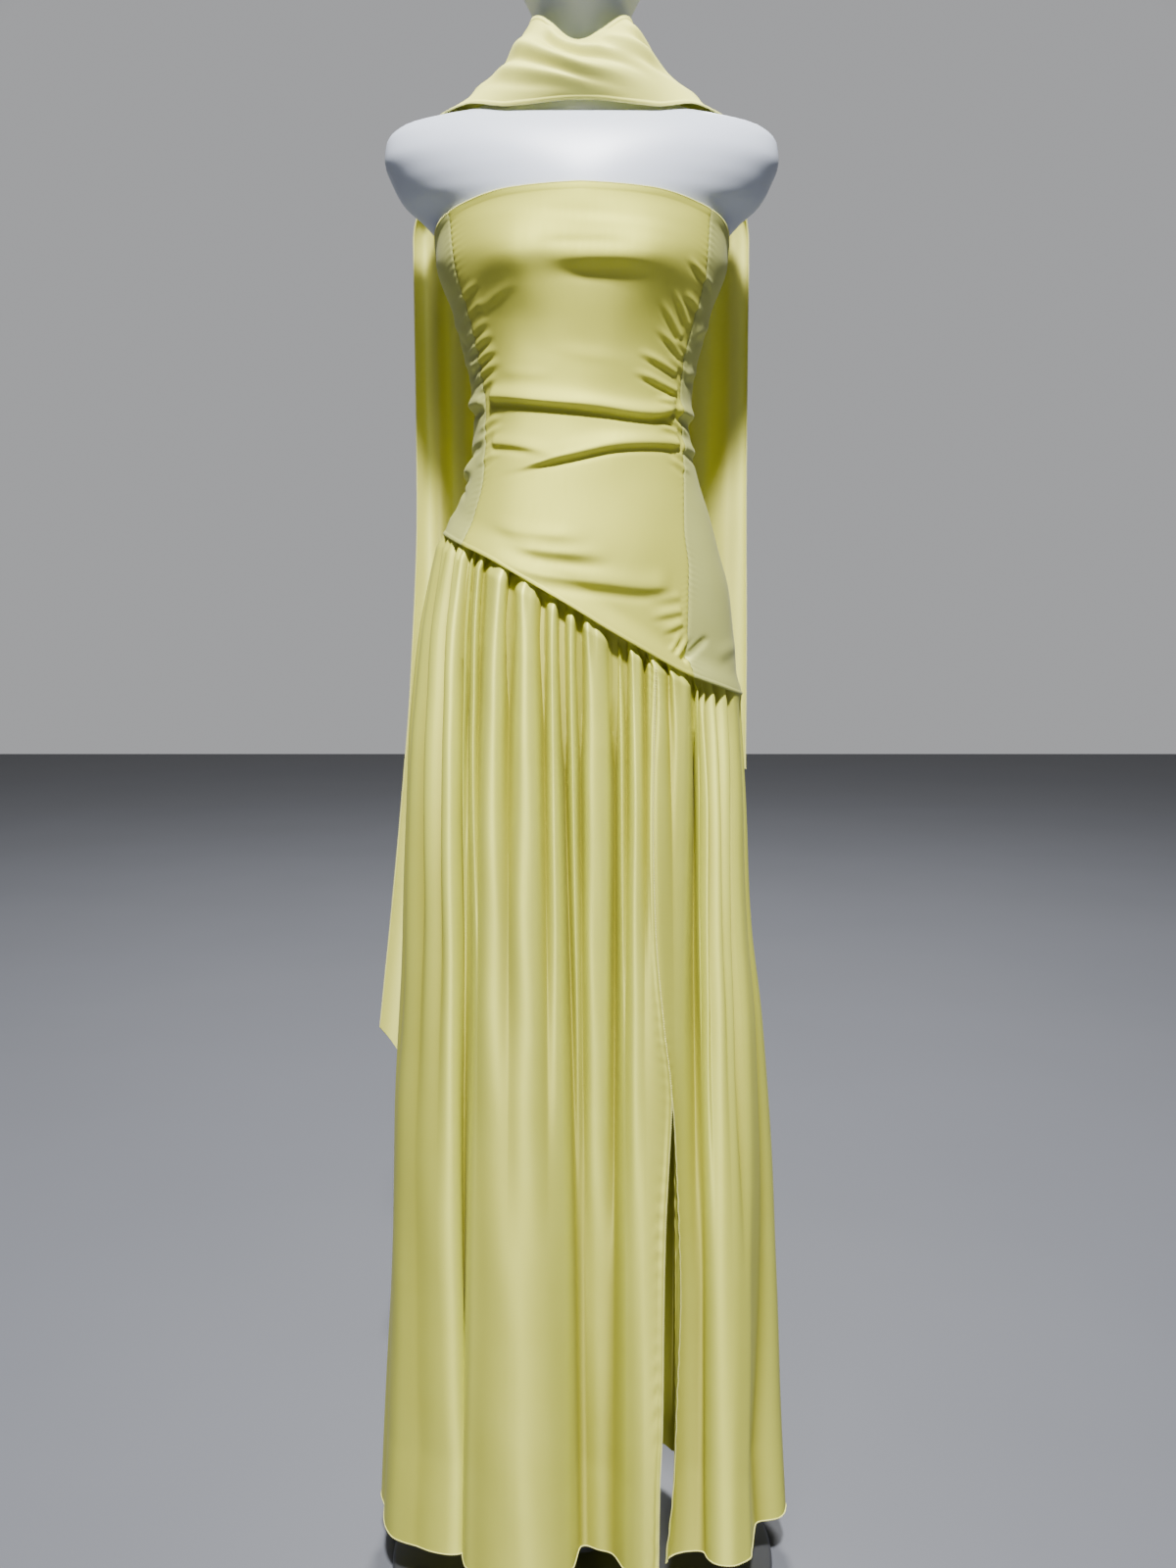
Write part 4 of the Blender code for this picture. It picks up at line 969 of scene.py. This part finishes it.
def scarf_curves():
    """Curves of the scarf's outer edge, middle and inner edge, x, y and z each, and of its pleats."""
    mirror = np.array((-1, -1, 1, 1, -1, 1, 1, -1, 1, 1, 1))
    left = np.array(SCARF_NECK[1:] + SCARF_LEFT)[::-1] * mirror
    curves = curves_of(np.concatenate([left, np.array(SCARF_NECK + SCARF_RIGHT)]))
    return (curves[:3], curves[3:6], curves[6:9]), curves[9]


def unit(vectors):
    return vectors / np.linalg.norm(vectors, axis=-1, keepdims=True)


def scarf_points(curves, run, across):
    """Outer points of the scarf: across is 0 at its outer edge and 1 at its inner edge."""
    places, pleat = curves
    outer, middle, inner = (np.stack([axis(run) for axis in place], axis=-1) for place in places)
    across = across[..., None]
    point = outer * (1 - across) * (1 - 2 * across)
    point = point + middle * 4 * across * (1 - across) + inner * across * (2 * across - 1)
    away = unit(point - np.array(SCARF_CENTRE))
    hang = ease((np.abs(run) - NECK_RUN) / (SCARF_RIGHT[0][0] - NECK_RUN))[..., None]
    away = unit(away * (1 - hang) + np.array((0.0, 1.0, 0.0)) * hang)
    uneven = across + 0.035 * np.sin(7.0 * across + 3.0 * run[..., None])
    wave = np.sin(FULL_TURN * SCARF_PLEATS * uneven) * (0.75 + 0.25 * np.sin(9.0 * across + 0.6))
    pleated = TAIL_PLEATED * ease((np.abs(run) - 0.10) / (NECK_RUN - 0.10))
    return point + away * (pleat(run) * pleated)[..., None] * wave, away


def placed(name, data, place=(0, 0, 0), turn=(0, 0, 0)):
    """A new object in the scene."""
    thing = bpy.data.objects.new(name, data)
    thing.location = place
    thing.rotation_euler = turn
    bpy.context.scene.collection.objects.link(thing)
    return thing


def object_from(name, mesh, finish, sharp=None):
    """A piece from a mesh: smooth, with edges beyond the sharp angle in degrees kept crisp."""
    mesh.shade_smooth()
    if sharp:
        mesh.set_sharp_from_angle(angle=math.radians(sharp))
    mesh.materials.append(finish)
    return placed(name, mesh)


def fill(tree, node, values):
    """Give a node its values, and return it. A name with a capital is a socket, which takes a
    link or a constant. Other names are the node's own settings."""
    for name, value in values.items():
        if name[0].islower():
            setattr(node, name, value)
            continue
        socket = node.inputs[name.replace("_", " ")]
        if isinstance(value, bpy.types.NodeSocket):
            tree.links.new(value, socket)
        else:
            socket.default_value = value
    return node


class Finish:
    """Builds one material's nodes, with its constants set on the shader itself."""

    def __init__(self, name, color, roughness, **more):
        self.material = bpy.data.materials.new(name)
        self.material.use_nodes = True
        self.tree = self.material.node_tree
        self.shade(Base_Color=(*color, 1.0), Roughness=roughness, **more)

    def shade(self, **values):
        """Set or link the shader's own sockets, and return the material."""
        fill(self.tree, self.tree.nodes["Principled BSDF"], values)
        return self.material

    def node(self, kind, output, **values):
        return fill(self.tree, self.tree.nodes.new("ShaderNode" + kind), values).outputs[output]

    def coordinates(self, which, scale=(1.0, 1.0, 1.0)):
        return self.node("Mapping", "Vector", Vector=self.node("TexCoord", which), Scale=scale)

    def noise(self, vector, scale, detail=2.0):
        return self.node("TexNoise", "Fac", Vector=vector, Scale=scale, Detail=detail)

    def spread(self, value, low, high):
        return self.node("MapRange", "Result", Value=value, To_Min=low, To_Max=high)

    def between(self, value, first, second):
        mix = self.node("Mix", 2, data_type="RGBA")
        for socket, color in zip(mix.node.inputs[6:8], (first, second)):
            socket.default_value = (*color, 1.0)
        self.tree.links.new(value, mix.node.inputs[0])
        return mix

    def bump(self, height, strength, distance, **more):
        return self.node("Bump", "Normal", Height=height, Strength=strength, Distance=distance, **more)


def satin_finish(name, deep, pale, roughness, sheen, mirror, brushed, fold_shade):
    """Stretch satin: a fine twill, faint slubs along the cloth, painted shade in its folds'
    valleys, a painted highlight on their ridges, and a pale sheen at its edges."""
    finish = Finish(
        name, pale, roughness,
        Sheen_Weight=sheen, Sheen_Roughness=0.38, Sheen_Tint=(1.0, 1.0, 0.92, 1.0),
        Metallic=mirror, Anisotropic=brushed, Anisotropic_Rotation=0.25,
    )
    threads = finish.coordinates("UV")
    slubs = finish.noise(finish.coordinates("UV", (620.0, 26.0, 1.0)), 1.0)
    cloudy = finish.noise(threads, 22.0, 3.0)
    # Painted shade and highlight: by the fold_height mask the base colour darkens in fold valleys and
    # lightens on ridges
    height = finish.node("Attribute", "Fac", attribute_name="fold_height")
    valley, ridge = (tuple(1 + fold_shade * share for share in shares) for shares in FOLD_SHADE_AND_HIGHLIGHT)
    fold_shaded_color = finish.node("VectorMath", "Vector", operation="MULTIPLY",
                         Vector=finish.between(cloudy, deep, pale))
    finish.tree.links.new(finish.between(height, valley, ridge), fold_shaded_color.node.inputs[1])
    twill = finish.node("TexWave", "Fac", bands_direction="DIAGONAL",
                        Vector=threads, Scale=560.0, Distortion=1.2, Detail=1.0)
    weave = finish.bump(twill, 0.10, 0.00012)
    return finish.shade(
        Base_Color=fold_shaded_color,
        Roughness=finish.spread(slubs, roughness - 0.05, roughness + 0.06),
        Normal=finish.bump(slubs, 0.10, 0.00025, Normal=weave),
        Tangent=finish.node("Tangent", "Tangent", direction_type="UV_MAP", uv_map="cloth"),
    )


def form_finish():
    """Smooth white fibreglass under a thin satin lacquer."""
    finish = Finish("white_fibreglass", (0.61, 0.655, 0.75), 0.42, Coat_Weight=0.25, Coat_Roughness=0.35)
    place = finish.coordinates("Object")
    return finish.shade(
        Base_Color=finish.between(finish.noise(place, 5.0), (0.595, 0.64, 0.735), (0.63, 0.675, 0.77)),
        Roughness=finish.spread(finish.noise(place, 14.0), 0.36, 0.48),
        Normal=finish.bump(finish.noise(place, 420.0), 0.05, 0.0003),
    )


def steel_finish():
    """Brushed steel with a dark colour that is painted shade from the skirt: fine rings round the
    plate's middle, and a few faint rubs.
    """
    finish = Finish("brushed_steel", (0.20, 0.205, 0.22), 0.52, Metallic=1.0)
    place = finish.coordinates("Object")
    rings = finish.node("TexWave", "Fac", wave_type="RINGS", rings_direction="Z",
                        Vector=place, Scale=260.0, Distortion=6.0, Detail=2.0)
    rubs = finish.noise(place, 9.0, 4.0)
    return finish.shade(
        Base_Color=finish.between(rubs, (0.18, 0.185, 0.20), (0.22, 0.225, 0.24)),
        Roughness=finish.spread(rubs, 0.46, 0.58),
        Normal=finish.bump(rings, 0.08, 0.0002),
    )


def floor_finish():
    finish = Finish("pale_floor", (0.112, 0.117, 0.134), 0.55)
    cloudy = finish.noise(finish.coordinates("Object"), 1.6, 3.0)
    return finish.shade(Base_Color=finish.between(cloudy, (0.105, 0.110, 0.126), (0.119, 0.124, 0.143)))


def thread_finish():
    """Cream sewing thread, twisted, and a little paler than the satin."""
    finish = Finish("cream_thread", (0.80, 0.79, 0.24), 0.62, Sheen_Weight=0.10, Sheen_Roughness=0.4)
    place = finish.coordinates("Object")
    patchy = finish.noise(place, 60.0)
    return finish.shade(
        Base_Color=finish.between(patchy, (0.76, 0.75, 0.20), (0.84, 0.83, 0.28)),
        Roughness=finish.spread(patchy, 0.55, 0.70),
        Normal=finish.bump(finish.noise(place, 900.0), 0.20, 0.0002),
    )


def edging_tree(thread):
    """Geometry nodes for a rolled edge: a thin roll along a path, and slanted stitches over it."""
    tree = bpy.data.node_groups.new("rolled_edging", "GeometryNodeTree")
    tree.interface.new_socket("Path", in_out="INPUT", socket_type="NodeSocketGeometry")
    for name in EDGING:
        tree.interface.new_socket(name, in_out="INPUT", socket_type="NodeSocketFloat")
    tree.interface.new_socket("Edging", in_out="OUTPUT", socket_type="NodeSocketGeometry")
    given = tree.nodes.new("NodeGroupInput").outputs

    def node(kind, **values):
        return fill(tree, tree.nodes.new(kind), values).outputs[0]

    path = node("GeometryNodeMeshToCurve", Mesh=given["Path"])
    roll_path, stitch_path = (
        node("GeometryNodeResampleCurve", mode="LENGTH", Curve=path, Length=given[step])
        for step in ("Roll Step", "Stitch Spacing")
    )
    ring = node("GeometryNodeCurvePrimitiveCircle", Resolution=6, Radius=given["Roll Radius"])
    roll = node("GeometryNodeCurveToMesh", Fill_Caps=True, Curve=roll_path, Profile_Curve=ring)

    stitch = node("GeometryNodeMeshUVSphere", Segments=5, Rings=4, Radius=1.0)
    size = node("ShaderNodeCombineXYZ", X=given["Stitch Radius"], Y=given["Stitch Radius"],
                Z=given["Stitch Length"])
    slant, outwards = (
        node("GeometryNodeInputNamedAttribute", data_type="FLOAT_VECTOR", Name=name)
        for name in ("slant", "outwards")
    )
    along = node("FunctionNodeAlignRotationToVector", axis="Z", Vector=slant)
    lift = node("ShaderNodeVectorMath", operation="SCALE", Vector=outwards, Scale=given["Roll Radius"])
    spots = node("GeometryNodeSetPosition", Geometry=stitch_path, Offset=lift)
    stitches = node("GeometryNodeInstanceOnPoints", Points=spots, Instance=stitch, Rotation=along,
                    Scale=size)

    both = node("GeometryNodeJoinGeometry", Geometry=stitches)
    tree.links.new(roll, both.node.inputs["Geometry"])
    real = node("GeometryNodeRealizeInstances", Geometry=both)
    paint = node("GeometryNodeSetMaterial", Geometry=real, Material=thread)
    fill(tree, tree.nodes.new("NodeGroupOutput"), {"Edging": paint})
    return tree


def build_edging(name, edges, tree, thread):
    """One piece of rolled edging along some edges: each has points, ways in, and normals."""
    points, slants, outs, lines = [], [], [], []
    for path, inwards, normal in edges:
        first = len(points)
        ahead = unit(np.gradient(path, axis=0))
        points += (path + inwards * EDGING["Roll Radius"] * 0.4).tolist()
        slants += unit(inwards + ahead * STITCH_SLANT).tolist()
        outs += normal.tolist()
        lines += [(k, k + 1) for k in range(first, len(points) - 1)]
    mesh = bpy.data.meshes.new(name + "_path")
    mesh.from_pydata(points, lines, [])
    for attribute, values in (("slant", slants), ("outwards", outs)):
        data = mesh.attributes.new(attribute, "FLOAT_VECTOR", "POINT").data
        data.foreach_set("vector", np.ravel(values))
    source = placed(name + "_path", mesh)
    modifier = source.modifiers.new("edging", "NODES")
    modifier.node_group = tree
    for item in tree.interface.items_tree:
        if item.in_out == "INPUT" and item.name in EDGING:
            modifier[item.identifier] = EDGING[item.name]
    evaluated = source.evaluated_get(bpy.context.evaluated_depsgraph_get())
    finished = bpy.data.meshes.new_from_object(evaluated)
    bpy.data.objects.remove(source)
    finished.name = name
    finished.materials.clear()
    return object_from(name, finished, thread)


def cloth_edge(outer, side):
    """A border of a grid: its points, the unit ways into the cloth, and the normals."""
    edge, inside = {
        "top": (np.s_[0], np.s_[2]),
        "bottom": (np.s_[-1], np.s_[-3]),
        "start": (np.s_[:, 0], np.s_[:, 2]),
        "end": (np.s_[:, -1], np.s_[:, -3]),
    }[side]
    return outer[edge], unit(outer[inside] - outer[edge]), normals_of(outer)[edge]


def build_body(finish):
    """The torso with shoulder caps, neck and plain head, in one smooth shape."""
    turns, heights = 128, 200
    sections = np.arange(len(FIGURE))
    levels = np.interp(np.linspace(0, sections[-1], heights), sections, [row[0] for row in FIGURE])[::-1]
    angle = np.linspace(0, FULL_TURN, turns, endpoint=False)[None, :]
    z = levels[:, None]
    points = points_at(angle + 0 * z, figure_radius(angle, z), z)
    number = np.arange(heights * turns).reshape(heights, turns)
    faces = quads(np.concatenate([number, number[:, :1]], axis=1))
    faces += [number[0].tolist(), number[-1][::-1].tolist()]
    mesh = bpy.data.meshes.new("form_body")
    mesh.from_pydata(points.reshape(-1, 3).tolist(), [], faces)
    return object_from("form_body", mesh, finish, 50)


def turned_piece(name, profile, steps, finish):
    """A turned piece: the profile runs down its outer side from the top to the bottom."""
    work = bmesh.new()
    spots = [work.verts.new((radius, 0.0, z)) for radius, z in profile]
    edges = [work.edges.new(pair) for pair in zip(spots, spots[1:])]
    bmesh.ops.spin(work, geom=spots + edges, cent=(0, 0, 0), axis=(0, 0, 1), angle=FULL_TURN,
                   steps=steps)
    bmesh.ops.remove_doubles(work, verts=work.verts, dist=0.00002)
    bmesh.ops.recalc_face_normals(work, faces=work.faces)
    mesh = bpy.data.meshes.new(name)
    work.to_mesh(mesh)
    work.free()
    return object_from(name, mesh, finish, 35)


def build_stand(steel):
    """The round base plate with its socket, and the pole with its collar."""
    _, plate_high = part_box("form_base")
    _, pole_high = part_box("form_pole")
    rim = plate_high.x
    socket = 0.022
    pole = 0.0125
    rounded = [(rim - 0.004 + 0.004 * math.sin(t), 0.0025 + 0.004 * math.cos(t))
               for t in np.linspace(0, math.pi / 2, 6)]
    base = turned_piece("base_plate", [
        (0.0, 0.012), (pole + 0.0003, 0.012), (pole + 0.0003, 0.046), (socket - 0.002, 0.046),
        (socket, 0.044), (socket, 0.014), (socket + 0.001, 0.0115), (socket + 0.005, 0.0100),
        (rim - 0.060, 0.0085), *rounded, (rim, 0.001), (rim - 0.001, 0.0), (0.0, 0.0),
    ], 128, steel)
    top = pole_high.z
    collar = 0.030
    post = turned_piece("pole_and_collar", [
        (0.0, top), (collar - 0.001, top), (collar, top - 0.001), (collar, top - 0.024),
        (collar - 0.004, top - 0.028), (pole, top - 0.028), (pole, 0.0123), (0.0, 0.0123),
    ], 48, steel)
    return base, post


def build_bodice(satin, side_shaded_satin):
    """Four panels, with creases, sunk seams and a turned top edge."""
    left_seam, right_seam = (
        lambda z, seam=seam: panel_angle(seam(z), z) for seam in SEAM_CURVES
    )
    left_side, right_side, behind = (straight(turn * SIDE_SEAM) for turn in (-1, 1, 3))
    panels = (
        ("centre_panel", "bodice_front_centre", left_seam, right_seam, 181, 271, satin),
        ("left_side_panel", "bodice_front_left", left_side, left_seam, 67, 231, side_shaded_satin),
        ("right_side_panel", "bodice_front_right", right_seam, right_side, 71, 271, side_shaded_satin),
        ("back_panel", "bodice_back", right_side, behind, 161, 181, satin),
    )
    pieces = []
    for name, node, start, end, columns, rows, finish in panels:
        edges = shifted(start, HALF_GAP), shifted(end, -HALF_GAP)
        angle, z, from_left, from_right = bodice_grid(*edges, columns, rows)
        radius = bodice_radius(angle, z)
        along = lengths_along(points_at(angle, radius, z), 0)
        radius = radius + seam_relief(from_left, along) + seam_relief(from_right, along + 0.4)
        radius = radius + UNEVEN_RISE["bodice"] * BODICE_UNEVEN(angle * BODICE_TURN, z)
        outer = points_at(angle, radius, z)
        rise = rolled(along, *ROLLS["top"]) + rolled(distance_from(outer, "bottom"), *ROLLS["seam"])
        outer = raised(outer, rise)
        pieces.append((cloth_piece(name, outer, finish), node, outer))
    return pieces


def build_skirt(satin):
    """Two front panels that part at the slit, and the back, with rolled hems."""
    right_side = straight(SIDE_SEAM)
    panels = (
        ("left_skirt", "skirt_front_left", straight(-SIDE_SEAM), slit_angle(0), 20, 201, "end"),
        ("right_skirt", "skirt_front_right", slit_angle(1, SLIT_OVERLAP), right_side, 24, 201, "start"),
        ("back_skirt", "skirt_back", right_side, straight(3 * SIDE_SEAM), 16, 141, ""),
    )
    parts = (VALLEYS[:LEFT_FOLDS], VALLEYS[LEFT_FOLDS:RIGHT_END], VALLEYS[RIGHT_END:])
    pieces = []
    for large, (name, node, start, end, spots, rows, slit_side) in enumerate(panels):
        angles, depth_curves, _ = zip(*parts[large])
        stops = [shifted(start, HALF_GAP), *angles, shifted(end, -HALF_GAP)]
        closed_ends = (slit_side != "start", slit_side != "end")
        outer, fall = skirt_grid(stops, depth_curves, closed_ends, spots, rows, large)
        outer = finish_skirt(outer, fall, slit_side)
        pieces.append((cloth_piece(name, outer, satin), node, outer))
    return pieces


def build_scarf(satin):
    """The scarf in three stretches: round the neck's front, and a tail behind each side."""
    curves = scarf_curves()
    tail = NECK_RUN + 0.0003
    pieces = []
    for name, node, first, last, rows in (
        ("neck_scarf", "scarf_neck", -NECK_RUN, NECK_RUN, 201),
        ("right_tail", "scarf_tail_right", tail, SCARF_RIGHT[-1][0], 161),
        ("left_tail", "scarf_tail_left", -tail, -SCARF_LEFT[-1][0], 161),
    ):
        run, share = np.meshgrid(np.linspace(first, last, rows), np.linspace(0, 1, 121), indexing="ij")
        outer, away = scarf_points(curves, run, share)
        if name == "neck_scarf":
            relief = crease_relief(run, share * NECK_WIDTH, NECK_CREASES)
            relief = relief + UNEVEN_RISE["neck"] * SCARF_UNEVEN(run, share * 0.08)
        else:
            relief = UNEVEN_RISE["tail"] * SCARF_UNEVEN(run * 0.4, share * 0.10)
        outer = outer + away * relief[..., None]
        if name == "left_tail":
            outer = outer[:, ::-1]
        rise = sum(rolled(distance_from(outer, side), *SCARF_ROLLS[side]) for side in EDGED[name])
        pieces.append((cloth_piece(name, raised(outer, rise), satin), node, outer))
    return pieces


def build_stage():
    """A plain pale floor, and soft light from above and in front."""
    mesh = bpy.data.meshes.new("floor")
    corners = [(x * FLOOR_REACH, y * FLOOR_REACH, 0) for x, y in ((-1, -1), (1, -1), (1, 1), (-1, 1))]
    mesh.from_pydata(corners, [], [(0, 1, 2, 3)])
    floor = object_from("floor", mesh, floor_finish())
    world = bpy.data.worlds.new("studio")
    bpy.context.scene.world = world
    world.use_nodes = True
    tree = world.node_tree
    generated = tree.nodes.new("ShaderNodeTexCoord").outputs["Generated"]
    split = fill(tree, tree.nodes.new("ShaderNodeSeparateXYZ"), {"Vector": generated})
    shade = fill(tree, tree.nodes.new("ShaderNodeMapRange"), {
        "Value": split.outputs["Y"], "From_Min": 0.70, "From_Max": 0.86, "To_Min": 0.075, "To_Max": 0.42,
    })
    fill(tree, tree.nodes["Background"], {
        "Strength": shade.outputs["Result"], "Color": (0.96, 0.97, 1.0, 1.0),
    })
    for name, place, aim, size, power in LIGHTS:
        data = bpy.data.lights.new(name, "AREA")
        data.shape = "RECTANGLE"
        data.size = data.size_y = size
        data.energy = power
        way = np.array(aim) - np.array(place)
        down = math.acos(-way[2] / np.linalg.norm(way))
        light = placed(name, data, place, (down, 0.0, math.atan2(way[1], way[0]) - math.pi / 2))
        light.visible_camera = name != "inner_glow"


def place_camera():
    data = bpy.data.cameras.new("camera")
    data.sensor_width = SENSOR
    data.lens = SENSOR * FOCAL_PIXELS / PHOTO_HEIGHT
    data.clip_start = 0.05
    turn = (math.pi / 2 - CAMERA_DOWN, 0.0, 0.0)
    bpy.context.scene.camera = placed("camera", data, CAMERA_SPOT, turn)


place_camera()
build_stage()
# Each satin's fold_shade sets how strongly its fold valleys get painted shade and its ridges a painted
# highlight
satin = satin_finish(
    "pale_yellow_satin", deep=(0.71, 0.705, 0.102), pale=(0.74, 0.745, 0.126),
    roughness=0.74, sheen=0.03, mirror=0.45, brushed=0.70, fold_shade=0.35)
skirt_satin = satin_finish(
    "gathered_skirt_satin", deep=(0.65, 0.655, 0.094), pale=(0.69, 0.705, 0.120),
    roughness=0.58, sheen=0.02, mirror=0.34, brushed=0.82, fold_shade=1.0)
# A paler, brighter copy of the same satin for the scarf: painted light for its more lit place
scarf_lit_satin = satin_finish(
    "scarf_lit_satin", deep=(0.87, 0.865, 0.180), pale=(0.90, 0.90, 0.210),
    roughness=0.74, sheen=0.08, mirror=0.12, brushed=0.50, fold_shade=0.5)
# A greyer, darker copy of the same satin for the side panels: painted shade and sheen for the light
# grazing the sides
side_shaded_satin = satin_finish(
    "side_panel_shaded_satin", deep=(0.58, 0.60, 0.17), pale=(0.61, 0.64, 0.215),
    roughness=0.70, sheen=0.06, mirror=0.40, brushed=0.70, fold_shade=0.35)
white = form_finish()
steel = steel_finish()

form_body = build_body(white)
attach(form_body, BODY)
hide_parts("form_torso")
base_plate, post = build_stand(steel)
for piece, node in ((base_plate, "form_base"), (post, "form_pole")):
    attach(piece, BODY)
    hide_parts(node)

# Each cloth piece, attached to the body with its CAD part hidden, and rolled edging along its edged
# borders
thread = thread_finish()
edging_nodes = edging_tree(thread)
cloth = build_bodice(satin, side_shaded_satin) + build_skirt(skirt_satin) + build_scarf(scarf_lit_satin)
for piece, node, outer in cloth:
    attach(piece, BODY)
    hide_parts(node)
    edges = [cloth_edge(outer, side) for side in EDGED[piece.name]]
    edging = build_edging(piece.name + "_edging", edges, edging_nodes, thread)
    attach(edging, BODY)
